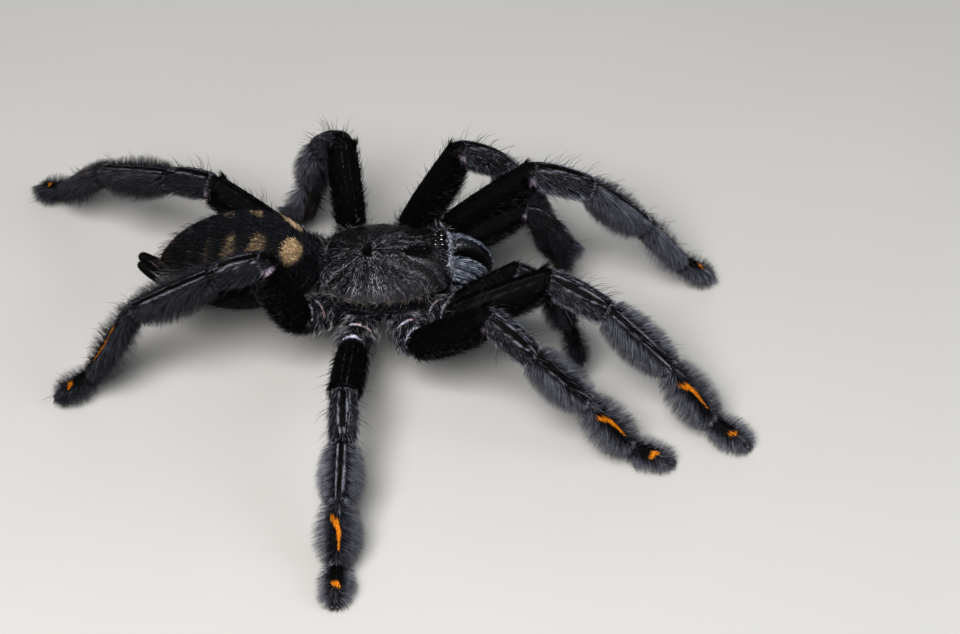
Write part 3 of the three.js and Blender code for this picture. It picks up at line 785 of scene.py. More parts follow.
def gloss_material(name, dark, light, roughness, coat, index):
    """Glossy horn and eyes: two close tones under a clear surface."""
    material, nodes, links, shader = new_material(name)
    two_tones(nodes, links, shader, 700.0, 2.0, 0.35, 0.7, dark, light)
    shader.inputs["Roughness"].default_value = roughness
    shader.inputs["Coat Weight"].default_value = coat
    shader.inputs["Coat Roughness"].default_value = 0.03
    shader.inputs["IOR"].default_value = index
    return material


def floor_material():
    material, nodes, links, shader = new_material("floor")
    two_tones(nodes, links, shader, 14.0, 3.0, 0.2, 0.8, (0.375, 0.37, 0.36), (0.395, 0.39, 0.38))
    shader.inputs["Roughness"].default_value = 0.8
    return material


SKIN = skin_material()
HAIR = coat_material("leg_hair", 0.40, 0.12)
FUR = coat_material("body_fur", 0.42, 0.11)
SHELL = shell_material("carapace_shell", 0.44, 0.35, 2.6, 0.12)
JAW_SHELL = shell_material("jaw_shell", 0.34, 0.4, 3.2, 0.17)
EYE_GLOSS = gloss_material("eye_gloss", (0.004, 0.003, 0.003), (0.012, 0.008, 0.006), 0.05, 1.0, 2.3)
HORN = gloss_material("horn_gloss", (0.006, 0.004, 0.004), (0.03, 0.012, 0.007), 0.2, 0.6, 1.5)

# ---------------------------------------------------------------- the skin


def paint_plain(piece, colour, scale=1.0):
    points = read_points(piece.data)
    write_colours(piece.data, "tint", np.broadcast_to(np.asarray(colour), (len(points), 3)))
    write_vectors(piece.data, "place", np.full((len(points), 3), -1.0))
    write_vectors(piece.data, "grain", points * scale)


def model_abdomen():
    deselect_all()
    bpy.ops.mesh.primitive_uv_sphere_add(segments=64, ring_count=56, radius=1.0, rotation=FACING_FORWARDS)
    piece = bpy.context.object
    piece.name = "skin_abdomen"
    apply_place(piece)
    put_in_order(piece.data)
    sphere = read_points(piece.data)
    along = np.clip((sphere[:, 0] + 1) / 2, 0, 1)
    angle = np.arctan2(sphere[:, 1], sphere[:, 2])
    write_points(piece.data, abdomen_point(along, angle))
    write_colours(piece.data, "tint", abdomen_colour(along, angle))
    write_vectors(piece.data, "place", np.stack([along, angle, np.zeros_like(along)], axis=1))
    write_vectors(piece.data, "grain", np.stack([along * 24, angle * 7, np.zeros_like(along)], axis=1))
    return piece


# The breastplate's outline from behind forwards: x and half width.
STERNUM_OUTLINE = [
    (-7.4, 0.6), (-7.2, 1.5), (-6.0, 2.3), (-2.6, 3.1), (1.2, 3.1),
    (4.6, 2.7), (6.8, 1.8), (8.1, 1.2), (8.2, 0.5),
]
STERNUM_AXIS = 11.85
STERNUM_HALF_HEIGHT = 2.85
STERNUM_END_HALF_HEIGHT = 1.2
WAIST_PATH = [
    (-13.0, 15.6, 0.8), (-12.0, 15.6, 1.9), (-10.0, 15.6, 1.7), (-8.0, 15.4, 1.9), (-6.5, 15.0, 1.0),
]
TRUNK_BLACK = BLACK * 1.6


def model_sternum():
    stations = []
    for x, half_width in STERNUM_OUTLINE:
        high = STERNUM_HALF_HEIGHT if half_width > 0.8 else STERNUM_END_HALF_HEIGHT
        stations.append(((x, 0, STERNUM_AXIS), 0.0, half_width, high, high))
    piece = pull_tube("skin_sternum", stations, corners=12, levels=2)
    paint_plain(piece, TRUNK_BLACK)
    return piece


def model_waist():
    stations = [((x, 0, z), 0.0, radius, radius, radius) for x, z, radius in WAIST_PATH]
    piece = pull_tube("skin_waist", stations, corners=10, levels=2)
    paint_plain(piece, TRUNK_BLACK)
    return piece


SPINNERET_PATH = [
    (-31.6, 13.4, 1.0), (-33.0, 14.4, 1.08), (-34.0, 15.1, 1.06), (-34.9, 15.8, 1.0),
    (-36.0, 16.8, 0.86), (-36.7, 17.45, 0.68), (-37.05, 17.75, 0.35),
]
SPINNERET_BASE_X = -33.4
SPINNERET_OUT = 1.13                 # how far each spinneret's base is from the middle
SPINNERET_MIDDLE_GAP = 0.06


def model_spinneret(side):
    piece = pull_tube("skin_spinneret", along_path(SPINNERET_PATH), corners=10, levels=2)
    points = read_points(piece.data)
    points[:, 1] += side * (SPINNERET_OUT + 0.05 * (points[:, 0] - SPINNERET_BASE_X))
    points[:, 1] = side * np.maximum(side * points[:, 1], SPINNERET_MIDDLE_GAP)
    write_points(piece.data, points)
    paint_plain(piece, BLACK * 1.5)
    return piece


FLANK_TOP = 15.3
FLANK_BOTTOM = 11.4
FLANK_PLACES = (-10.4, -9.8, -8.4, -6.5, -4.0, -1.0, 2.0, 5.0, 7.2, 8.8, 9.3)
FLANK_SHARE = 0.94                   # of the shield's half width
FLANK_END_SIZE = 0.4                 # the first and last ring, against the others


def model_flanks():
    """The soft dark sides of the body, between the shield's rim and the hips."""
    stations = []
    for x in FLANK_PLACES:
        at_end = FLANK_END_SIZE if x in (FLANK_PLACES[0], FLANK_PLACES[-1]) else 1.0
        half_width = FLANK_SHARE * float(carapace_half_width(np.array(max(x, -9.0)))) * at_end
        half_height = (FLANK_TOP - FLANK_BOTTOM) / 2 * at_end
        stations.append(((x, 0, (FLANK_TOP + FLANK_BOTTOM) / 2), 0.0, half_width, half_height, half_height))
    piece = pull_tube("skin_flanks", stations, corners=14, levels=2)
    paint_plain(piece, TRUNK_BLACK)
    return piece


straight_leg = straight_limb("straight_leg", LEG_SKIN)
straight_palp = straight_limb("straight_palp", PALP_SKIN)
limb_skins = {name: limb_skin(limb, straight_palp if limb.kind == "palp" else straight_leg)
              for name, limb in LIMBS.items()}
abdomen_skin = model_abdomen()
fingers = [model_spinneret(1), model_spinneret(-1)]
trunk_skins = [model_sternum(), model_waist(), model_flanks()]
body_skins = [abdomen_skin] + trunk_skins + fingers

# ---------------------------------------------------------------- growing hair


class Surface:
    """The triangles of a skin piece, and the place of every corner on its own map."""

    def __init__(self, mesh, place):
        mesh.calc_loop_triangles()
        corners = np.empty(len(mesh.loop_triangles) * 3, dtype=np.int64)
        mesh.loop_triangles.foreach_get("vertices", corners)
        self.corners = corners.reshape(-1, 3)
        self.points = read_points(mesh)
        normals = np.empty(len(mesh.vertices) * 3)
        mesh.vertices.foreach_get("normal", normals)
        self.normals = normals.reshape(-1, 3)
        self.place = place
        first, second, third = (self.points[self.corners[:, k]] for k in range(3))
        self.areas = np.linalg.norm(np.cross(second - first, third - first), axis=1) / 2

    def sprinkle(self, per_mm2, rng):
        """Random roots, with the outward direction and the place at each."""
        count = rng.poisson(self.areas * per_mm2)
        triangle = np.repeat(np.arange(len(count)), count)
        weights = rng.random((len(triangle), 2))
        weights = np.where(weights.sum(1, keepdims=True) > 1, 1 - weights, weights)
        weights = np.concatenate([weights, 1 - weights.sum(1, keepdims=True)], axis=1)
        corners = self.corners[triangle]

        def mixed(values):
            return (values[corners] * weights[:, :, None]).sum(1)

        return mixed(self.points), unit(mixed(self.normals)), mixed(self.place)


# A bent hair has two rings of three corners and a tip, and a needle has one ring and a tip.
BENT_FACES = np.array([
    (0, 1, 4), (0, 4, 3), (1, 2, 5), (1, 5, 4), (2, 0, 3),
    (2, 3, 5), (3, 4, 6), (4, 5, 6), (5, 3, 6), (0, 2, 1),
])
NEEDLE_FACES = np.array([(0, 1, 3), (1, 2, 3), (2, 0, 3), (0, 2, 1)])
# Where the corners lie in the hair's patch of the map.
BENT_PATCH = np.array([
    (-0.5, -0.5), (0.0, -0.38), (0.5, -0.5), (-0.4, 0.0), (0.0, 0.1), (0.4, 0.0), (0.0, 0.5),
])
NEEDLE_PATCH = np.array([(-0.5, -0.5), (0.0, -0.3), (0.5, -0.5), (0.0, 0.5)])
PATCH_SIZE = 0.003
RING_TURNS = (math.pi / 2, math.pi * 7 / 6, math.pi * 11 / 6)
TAPER = 0.72                         # the middle ring's radius, against the root's
ROOT_DEPTH = 0.06                    # how far a hair's root sits in the skin


def tangent(directions, outs):
    return unit(directions - (directions * outs).sum(1, keepdims=True) * outs)


def ring_points(centre, direction, outs, radius):
    side = unit(np.cross(direction, outs))
    over = np.cross(side, direction)
    corners = []
    for turn in RING_TURNS:
        corners.append(centre + radius[:, None] * (math.cos(turn) * side + math.sin(turn) * over))
    return corners


def as_column(value, count):
    return np.broadcast_to(np.asarray(value, dtype=float), (count,)).copy()


def bent_hairs(roots, outs, lies, length, rise, fall, radius, tint, tip_tint, spot, droop=None):
    """Hairs with a bend half way. rise and fall are the slopes of the two halves over the skin."""
    count = len(roots)
    length, rise, fall, radius = (as_column(value, count) for value in (length, rise, fall, radius))
    first = unit(np.cos(rise)[:, None] * lies + np.sin(rise)[:, None] * outs)
    second = unit(np.cos(fall)[:, None] * lies + np.sin(fall)[:, None] * outs)
    if droop is not None:
        second = unit(second + droop)
    start = roots - outs * ROOT_DEPTH
    middle = start + first * (length * 0.5)[:, None]
    tip = middle + second * (length * 0.5)[:, None]
    points = ring_points(start, first, outs, radius)
    points += ring_points(middle, second, outs, radius * TAPER) + [tip]
    tints = [tint * 0.7] * 3 + [(tint + tip_tint) / 2] * 3 + [tip_tint]
    return {"points": np.stack(points, axis=1), "tints": np.stack(tints, axis=1), "spot": spot,
            "faces": BENT_FACES, "patch": BENT_PATCH}


def needles(roots, outs, lies, length, rise, radius, tint, tip_tint, spot):
    """Short straight hairs."""
    count = len(roots)
    length, rise, radius = (as_column(value, count) for value in (length, rise, radius))
    direction = unit(np.cos(rise)[:, None] * lies + np.sin(rise)[:, None] * outs)
    start = roots - outs * ROOT_DEPTH
    points = ring_points(start, direction, outs, radius) + [start + direction * length[:, None]]
    return {"points": np.stack(points, axis=1), "tints": np.stack([tint * 0.8] * 3 + [tip_tint], axis=1),
            "spot": spot, "faces": NEEDLE_FACES, "patch": NEEDLE_PATCH}


def coat_piece(name, bundles):
    """One mesh of many hairs, each a small patch at its root's place on the map OFBake."""
    points, tints, spots, faces = [], [], [], []
    start = 0
    for bundle in bundles:
        count, per_hair = bundle["points"].shape[:2]
        if not count:
            continue
        points.append(bundle["points"].reshape(-1, 3))
        tints.append(bundle["tints"].reshape(-1, 3))
        spots.append((bundle["spot"][:, None] + bundle["patch"][None] * PATCH_SIZE).reshape(-1, 2))
        first = start + np.arange(count)[:, None, None] * per_hair
        faces.append((first + bundle["faces"][None]).reshape(-1, 3))
        start += count * per_hair
    points, tints, spots, faces = (np.concatenate(part) for part in (points, tints, spots, faces))
    points[:, 2] = np.maximum(points[:, 2], GROUND_GAP)
    mesh = bpy.data.meshes.new(name)
    mesh.vertices.add(len(points))
    mesh.vertices.foreach_set("co", points.ravel())
    mesh.loops.add(faces.size)
    mesh.loops.foreach_set("vertex_index", faces.ravel().astype(np.int32))
    mesh.polygons.add(len(faces))
    mesh.polygons.foreach_set("loop_start", np.arange(0, faces.size, 3, dtype=np.int32))
    mesh.update(calc_edges=True)
    write_colours(mesh, "tint", np.clip(tints, 0, 1))
    unwrapped = mesh.uv_layers.new(name="OFBake")
    unwrapped.uv.foreach_set("vector", np.clip(spots[faces.ravel()], 0, 1).ravel())
    piece = bpy.data.objects.new(name, mesh)
    bpy.context.collection.objects.link(piece)
    return piece


def hashed(*cells):
    """A repeatable random number from 0 to 1 for each grid cell, from the sine of a large number."""
    total = np.zeros(cells[0].shape)
    for index, cell in enumerate(cells):
        total = total + cell * (12.9898 + 65.1 * index)
    return np.modf(np.abs(np.sin(total) * 43758.5453))[0]


def clump(length_mm, arc_mm, size):
    """Pull towards the middle of a small group of hairs, in millimetres, and the group's number."""
    row = np.floor(arc_mm / size)
    column = np.floor(length_mm / (size * 2.2) + hashed(row, row * 0 + 3))
    middle_arc = (row + 0.25 + 0.5 * hashed(column, row)) * size
    return middle_arc - arc_mm, hashed(column, row + 17)


def tinted(colour, strength):
    return colour[None] * strength[:, None]


def taken(parts, chosen):
    return [part[chosen] for part in parts]


class Growth:
    """Roots of hairs on a limb, with the markings and the limb's directions at each."""

    def __init__(self, limb, roots, outs, place, marks):
        self.roots, self.outs, self.marks = roots, outs, marks
        self.part, self.t, self.angle, self.arc = marks["part"], marks["t"], marks["angle"], marks["arc"]
        self.to_side = np.abs(self.angle)
        segment = limb.segment_of(place[:, 0])
        self.along = tangent(limb.along[segment], outs)
        front = -limb.side * limb.across[segment]
        bearing = marks["bearing"][:, None]
        around = np.cos(bearing) * front - np.sin(bearing) * limb.up[segment]
        self.around = tangent(around, outs)
        self.spot = np.stack([0.02 + 0.96 * place[:, 0] / len(limb.lengths),
                              0.02 + 0.96 * (self.angle / (2 * math.pi) + 0.5)], axis=1)
        self.length_mm = place[:, 0] * 11.0

    def lie(self, sweep):
        """Directions along the skin, turned from the limb's own towards the front of its ridge."""
        return unit(np.cos(sweep)[:, None] * self.along + np.sin(sweep)[:, None] * self.around)


# Small tufts: place, angle from the ridge, reach in millimetres, hair length, colour.
TUFTS = [
    (1.93, 1.15, 0.55, 1.7, BLACK * 2.0),
    (1.93, -1.15, 0.55, 1.7, BLACK * 2.0),
    (3.95, 0.80, 0.30, 1.0, SETA_LIGHT),
    (3.95, -0.80, 0.30, 1.0, SETA_LIGHT),
    (4.95, -0.85, 0.45, 0.8, SETA_LIGHT),
]

# The layers of a limb's coat: hairs to the square millimetre.
PER_MM2 = {
    "long bent": 7, "long straight": 37, "underfur": 15, "velvet": 25, "thigh fringe": 8, "pale lines": 90,
    "collars": 36, "hip silver": 15, "tufts": 60, "orange": 85, "scopula": 32, "bristles": 0.55,
}
# And the hairs' radius at the root, in millimetres.
HAIR_RADIUS = {
    "long": 0.028, "underfur": 0.055, "velvet": 0.045, "thigh fringe": 0.032, "pale lines": 0.027,
    "collars": 0.03, "hip silver": 0.034, "tufts": 0.033, "orange": 0.045, "scopula": 0.045, "bristles": 0.03,
}

# How light the long hairs are on each pair of limbs: painted shade, the third and fourth pairs and the palps
# darkened as if they stood in shade.
COAT_PAINTED_SHADE = {"1": 1.0, "2": 1.0, "3": 0.80, "4": 0.42, "palp": 0.30}
# How bright the pale lines of the thighs are.
THIGH_LINES = {"1": 0.12, "2": 0.08, "3": 0.55, "4": 0.3, "palp": 0.15}


class LimbCoat:
    """All the hair of one limb."""

    def __init__(self, limb, skin, seed):
        self.limb = limb
        self.rng = np.random.default_rng(seed)
        self.surface = Surface(skin.data, read_vectors(skin.data, "place"))
        self.bundles = []

    def grow(self, per_mm2, chance):
        roots, outs, place = self.surface.sprinkle(per_mm2, self.rng)
        marks = limb_marks(place[:, 0], place[:, 1], place[:, 2], self.limb)
        chosen = self.rng.random(len(roots)) < chance(marks)
        roots, outs, place = taken((roots, outs, place), chosen)
        return Growth(self.limb, roots, outs, place, {key: value[chosen] for key, value in marks.items()})

    def add_bent(self, grown, lies, length, rise, fall, radius, tint, tip_tint, droop=None):
        self.bundles.append(bent_hairs(grown.roots, grown.outs, lies, length, rise, fall, radius,
                                       tint, np.clip(tip_tint, 0, 1), grown.spot, droop))

    def add_needles(self, grown, lies, length, rise, radius, tint, tip_tint):
        self.bundles.append(needles(grown.roots, grown.outs, lies, length, rise, radius,
                                    tint, np.clip(tip_tint, 0, 1), grown.spot))

    def add_long_setae(self):
        """The long grey hairs of the outer segments, swept outwards from the ridge."""
        rng = self.rng

        def chance(marks):
            part = marks["part"]
            share = by_part(part, 0.30, 0.0, 0.34, 1.0, 1.0, 0.95)
            share = share * np.where((part == KNEE) & (np.abs(marks["angle"]) < 1.5), 0.25, 1.0)
            share = share * (1 - marks["line"]) * (1 - 0.97 * marks["velvet"]) * (1 - marks["orange"])
            share = share * (1 - marks["membrane"]) * (1 - 0.97 * marks["under"] * (part >= FOOT))
            share = share * (1 - marks["edge"])
            return np.where((part == HIP) & ((marks["t"] < 0.3) | (marks["rim"] > 0.2)), 0.0, share)

        # The pair's painted shade darkens its long hairs.
        shade = COAT_PAINTED_SHADE[self.limb.kind]
        closeness = 1.3 if self.limb.kind == "palp" else 1.0
        for layer in ("long bent", "long straight"):
            grown = self.grow(PER_MM2[layer] * closeness, chance)
            part, t, to_side = grown.part, grown.t, grown.to_side
            count = len(t)
            aside = smooth_step(0.15, 0.75, to_side) * (1 - 0.4 * smooth_step(2.0, 2.9, to_side))
            turned = smooth_step(0.05, 0.4, to_side) * (1 - 0.5 * smooth_step(2.0, 2.9, to_side))
            sweep = np.radians(by_part(part, 8, 10, 16, 44, 58, 54)) * turned * np.sign(grown.angle)
            pull, number = clump(grown.length_mm, grown.arc, 0.3)
            lies = grown.lie(sweep + rng.normal(0, 0.07, count) + pull * 0.12)
            # Longest over the middle of each segment, so that every one has its own rounded outline.
            swell = np.sin(math.pi * np.clip((t + 0.14) / 1.18, 0, 1)) ** 0.6
            swell = np.where(part == TOE, np.sin(math.pi * np.clip((t + 0.3) / 1.5, 0, 1)) ** 0.6, swell)
            swell = np.where(part < SHIN, 0.9, swell)
            length = by_part(part, 1.5, 1.4, 1.7, 3.05, 3.35, 2.5) * swell * (0.80 + 0.20 * aside)
            length = length * rng.uniform(0.86, 1.1, count) * self.limb.girth ** 0.6
            length = length * (1 + 0.2 * smooth_step(1.7, 2.4, to_side) * (part == SHIN))
            upright = 0.50 + 0.50 * aside
            rise = np.radians(by_part(part, 38, 40, 36, 56, 62, 60)) * upright + rng.normal(0, 0.06, count)
            fall = np.radians(by_part(part, 12, 14, 14, 38, 46, 42)) * upright + rng.normal(0, 0.08, count)
            light = np.clip(rng.beta(0.9, 1.5, count) + 0.15 * (number - 0.5), 0, 1) * shade
            light = light * by_part(part, 1.0, 1.0, 1.45, 1.2, 1.0, 1.0)
            tint = tinted(SETA_GREY, 0.3 * shade + 0.8 * light)
            tip = SETA_GREY[None] * (0.6 * shade + 0.6 * light[:, None])
            tip = tip + (SETA_LIGHT - SETA_GREY)[None] * light[:, None] ** 1.3
            radius = HAIR_RADIUS["long"] * rng.uniform(0.75, 1.15, count) * self.limb.girth ** 0.5
            if layer == "long bent":
                droop = grown.around * (pull * 0.22)[:, None] + grown.along * 0.16
                self.add_bent(grown, lies, length, rise, fall, radius, tint, tip, droop)
            else:
                slope = rise * 0.55 + fall * 0.45
                self.add_needles(grown, lies, length * 0.97, slope, radius, tint, tip)

    def add_underfur(self):
        """Short dark hairs that hide the skin between the long ones."""
        rng = self.rng

        def chance(marks):
            share = by_part(marks["part"], 0.8, 0.0, 1.0, 1.0, 1.0, 1.0)
            share = share * (1 - marks["velvet"]) * (1 - marks["orange"])
            share = share * (1 - marks["line"]) * (1 - marks["rim"]) * (1 - 0.8 * marks["membrane"])
            return share * (1 - marks["edge"]) * (1 - marks["under"] * (marks["part"] >= FOOT))

        grown = self.grow(PER_MM2["underfur"], chance)
        count = len(grown.t)
        lies = grown.lie(np.sign(grown.angle) * 0.3 + rng.normal(0, 0.2, count))
        length = by_part(grown.part, 0.6, 0.6, 0.55, 1.0, 1.05, 0.85) * rng.uniform(0.7, 1.25, count)
        rise = np.radians(by_part(grown.part, 26, 26, 12, 38, 38, 36)) + rng.normal(0, 0.1, count)
        # The pair's painted shade darkens the knee's hairs.
        shade = COAT_PAINTED_SHADE[self.limb.kind]
        on_knee = (grown.part == KNEE)[:, None]
        tint = np.where(on_knee, SETA_GREY * shade, UNDERFUR) * rng.uniform(0.35, 1.0, count)[:, None]
        tip = tint * np.where(on_knee, 0.8 + 3.2 * rng.random((count, 1)) ** 2, 1.8)
        self.add_needles(grown, lies, length, rise, HAIR_RADIUS["underfur"], tint, tip)

    def add_velvet(self):
        """Short black hairs of the thighs and ridges."""
        rng = self.rng

        def chance(marks):
            share = marks["velvet"] * (1 - marks["line"] * 0.97) * (1 - marks["orange"])
            return share * (1 - 0.8 * marks["membrane"]) * (1 - marks["rim"]) * (1 - marks["edge"])

        grown = self.grow(PER_MM2["velvet"], chance)
        count = len(grown.t)
        lies = grown.lie(np.sign(grown.angle) * 0.2 + rng.normal(0, 0.16, count))
        under = smooth_step(1.2, 2.1, grown.to_side) * (grown.part == THIGH)
        length = by_part(grown.part, 0.5, 0.55, 0.42, 0.5, 0.62, 0.62) * (1 + under)
        length = length * rng.uniform(0.7, 1.25, count)
        rise = np.radians(14 + 26 * under) + rng.normal(0, 0.09, count)
        tint = tinted(BLACK * 1.2, rng.uniform(0.5, 1.5, count))
        self.add_needles(grown, lies, length, rise, HAIR_RADIUS["velvet"], tint, tint * 1.8)

    def add_thigh_fringe(self):
        """Longer soft hairs that stand out of the thigh's velvet, mostly along its sides and under it."""
        rng = self.rng

        def chance(marks):
            share = (marks["part"] == THIGH) * (0.10 + 0.9 * smooth_step(1.0, 1.8, np.abs(marks["angle"])))
            return share * (1 - marks["membrane"]) * (1 - marks["line"])

        grown = self.grow(PER_MM2["thigh fringe"], chance)
        count = len(grown.t)
        lies = grown.lie(np.sign(grown.angle) * 0.35 + rng.normal(0, 0.2, count))
        length = rng.uniform(1.0, 1.9, count) * (1 + 0.25 * smooth_step(1.8, 2.6, grown.to_side))
        light = rng.beta(1.1, 3.6, count)
        tint = tinted(BLACK * 1.6, 0.7 + light)
        tip = BLACK[None] * 3 + (SETA_GREY * 1.2)[None] * light[:, None]
        rise = np.radians(rng.uniform(40, 62, count))
        self.add_bent(grown, lies, length, rise, rise * 0.45, HAIR_RADIUS["thigh fringe"], tint, tip)

    def add_pale_lines(self):
        """Flat pale hairs along the bare lines and over the edges of the plates."""
        rng = self.rng

        def chance(marks):
            lines = marks["line"] * (1 - marks["orange"]) * (1 - marks["membrane"])
            return np.maximum(np.maximum(lines, marks["edge"] * 0.9), marks["rim"] * 0.9)

        grown = self.grow(PER_MM2["pale lines"], chance)
        count = len(grown.t)
        marks = grown.marks
        lies = grown.lie(rng.normal(0, 0.04, count))
        length = np.where(marks["line"] > 0.4, 0.65, 0.36) * rng.uniform(0.7, 1.3, count)
        strength = by_part(grown.part, 1.0, THIGH_LINES[self.limb.kind], 1.3, 1.0, 0.7, 0.5)
        colour = strength[:, None] * PALE_LINE[None]
        colour = blend(colour, RIM_WHITE, np.maximum(marks["rim"], marks["edge"] * 0.8))
        colour = blend(colour, RIM_ROSE, marks["rose"] * 0.75)
        colour = colour * (0.22 + 1.0 * rng.beta(1.0, 1.1, count))[:, None]
        radius = HAIR_RADIUS["pale lines"]
        self.add_needles(grown, lies, length, math.radians(9), radius, colour, colour * 1.2)

    def add_collars(self):
        """Whitish hairs round the ends of the knee piece, the shin and the foot."""
        rng = self.rng
        grown = self.grow(PER_MM2["collars"], lambda marks: marks["collar"])
        count = len(grown.t)
        lies = grown.lie(np.sign(grown.angle) * 0.35 + rng.normal(0, 0.35, count))
        rise = np.radians(rng.uniform(20, 55, count))
        # The pair's painted shade darkens the collars too.
        tint = tinted(SETA_LIGHT * 1.2, 0.08 + rng.beta(0.9, 1.4, count)) * COAT_PAINTED_SHADE[self.limb.kind]
        length = rng.uniform(0.5, 1.0, count)
        self.add_bent(grown, lies, length, rise, rise * 0.5, HAIR_RADIUS["collars"], tint * 0.6, tint)

    def add_hip_silver(self):
        """Long silver hairs that curl down over the hip's rings on both sides."""
        rng = self.rng

        def chance(marks):
            behind = band(marks["t"], 0.42, 0.60, 0.02) + 0.9 * band(marks["t"], 0.70, 0.885, 0.02)
            share = behind * (marks["part"] == HIP) * (np.abs(marks["angle"]) < 1.9) * (1 - marks["rim"])
            start = band(marks["t"], 0.0, 0.06, 0.02) * (marks["part"] == THIGH) * 0.4
            share = np.maximum(share, start * (np.abs(marks["angle"]) < 1.6))
            return share * 0.15 if self.limb.kind == "palp" else share

        grown = self.grow(PER_MM2["hip silver"], chance)
        count = len(grown.t)
        turned = np.radians(30 + 48 * smooth_step(0.1, 0.9, grown.to_side)) * np.sign(grown.angle)
        lies = grown.lie(turned + rng.normal(0, 0.16, count))
        light = np.where(rng.random(count) < 0.36, 0.35 + 0.65 * rng.beta(1.0, 1.4, count), 0.02)
        tint = tinted(SILVER * 0.7, light)
        rise = np.radians(rng.uniform(30, 52, count))
        droop = grown.along * rng.uniform(0.2, 1.0, count)[:, None]
        length = rng.uniform(1.5, 2.9, count) * self.limb.girth
        tip = tinted(SILVER * 2.5, light)
        self.add_bent(grown, lies, length, rise, rise - 0.8, HAIR_RADIUS["hip silver"], tint, tip, droop)

    def add_tufts(self):
        """Small tufts at the ends of the segments."""
        rng = self.rng
        if self.limb.kind == "palp":
            return
        for place, angle, reach, length, colour in TUFTS:
            segment = int(place)

            def chance(marks):
                gap = np.hypot((marks["place"] - place) * self.limb.lengths[segment],
                               (marks["angle"] - angle) * 2.0)
                return 1 - smooth_step(reach * 0.7, reach, gap)

            grown = self.grow(PER_MM2["tufts"], chance)
            count = len(grown.t)
            lies = grown.lie(rng.normal(0, 0.3, count))
            rise = np.radians(rng.uniform(20, 48, count))
            tint = tinted(colour, rng.uniform(0.4, 1.1, count))
            lengths = length * rng.uniform(0.7, 1.2, count)
            self.add_bent(grown, lies, lengths, rise, rise * 0.5, HAIR_RADIUS["tufts"], tint * 0.6, tint)

    def add_orange(self):
        """The dense flat hairs of the orange marks."""
        rng = self.rng
        grown = self.grow(PER_MM2["orange"], lambda marks: marks["orange"])
        count = len(grown.t)
        lies = grown.lie(rng.normal(0, 0.3, count))
        strength = rng.uniform(0.7, 1.15, count)
        dark = 0.38 if self.limb.kind == "4" else 0.13
        strength = np.where(rng.random(count) < dark, 0.03, strength)
        length = rng.uniform(0.32, 0.55, count)
        rise = np.radians(rng.uniform(8, 30, count))
        tip = tinted(ORANGE * np.array([1.12, 1.25, 1.6]), strength)
        self.add_needles(grown, lies, length, rise, HAIR_RADIUS["orange"], tinted(ORANGE, strength), tip)

    def add_scopula(self):
        """The dense brush under the foot and toe."""
        rng = self.rng

        def chance(marks):
            return marks["under"] * (marks["part"] >= FOOT) * (1 - marks["membrane"])

        grown = self.grow(PER_MM2["scopula"], chance)
        count = len(grown.t)
        lies = grown.lie(rng.normal(0, 0.25, count))
        length = rng.uniform(0.85, 1.2, count) * self.limb.girth
        tint = tinted(SCOPULA, rng.uniform(0.3, 0.8, count))
        tip = tinted(SCOPULA * 1.7, rng.uniform(0.6, 1.2, count))
        self.add_needles(grown, lies, length, math.radians(60), HAIR_RADIUS["scopula"], tint, tip)

    def add_bristles(self):
        """A few long fine hairs that stand well out of the coat."""
        rng = self.rng

        def chance(marks):
            share = by_part(marks["part"], 0.0, 0.3, 0.9, 0.8, 0.8, 0.2)
            return share * (1 - marks["membrane"]) * (np.abs(marks["angle"]) < 2)

        grown = self.grow(PER_MM2["bristles"], chance)
        count = len(grown.t)
        lies = grown.lie(rng.normal(0, 0.3, count))
        rise = np.radians(rng.uniform(45, 76, count))
        tint = tinted(np.array([0.05, 0.045, 0.04]), rng.uniform(0.5, 1.2, count))
        length = rng.uniform(2.4, 4.0, count) * self.limb.girth
        self.add_bent(grown, lies, length, rise, rise - 0.35, HAIR_RADIUS["bristles"], tint, tint * 2.4)

    def finished(self):
        self.add_underfur()
        self.add_velvet()
        self.add_long_setae()
        self.add_thigh_fringe()
        self.add_pale_lines()
        self.add_hip_silver()
        self.add_collars()
        self.add_tufts()
        self.add_orange()
        self.add_scopula()
        self.add_bristles()
        return coat_piece("coat_" + self.limb.name, self.bundles)


limb_coats = [LimbCoat(limb, limb_skins[name], 11 + number).finished()
              for number, (name, limb) in enumerate(LIMBS.items())]

# ---------------------------------------------------------------- the abdomen's coat


# Hairs to the square millimetre on the body's soft parts, and the hairs' radius at the root.
BODY_PER_MM2 = {"velvet": 29, "long": 3.2, "spinnerets": 30, "trunk": 16}
BODY_HAIR_RADIUS = {"velvet": 0.05, "long": 0.031, "spinnerets": 0.045, "trunk": 0.05}
# The back's velvet: its own near black, tinted blue-grey as a painted sheen.
ABDOMEN_VELVET_AND_SHEEN = np.array([0.0125, 0.0132, 0.0160])
ABDOMEN_SIDE_VELVET = np.array([0.018, 0.0175, 0.0185])
ABDOMEN_LONG_HAIR = np.array([0.034, 0.034, 0.037])
SPINNERET_VELVET_START = -32.6       # the velvet grows behind this place only


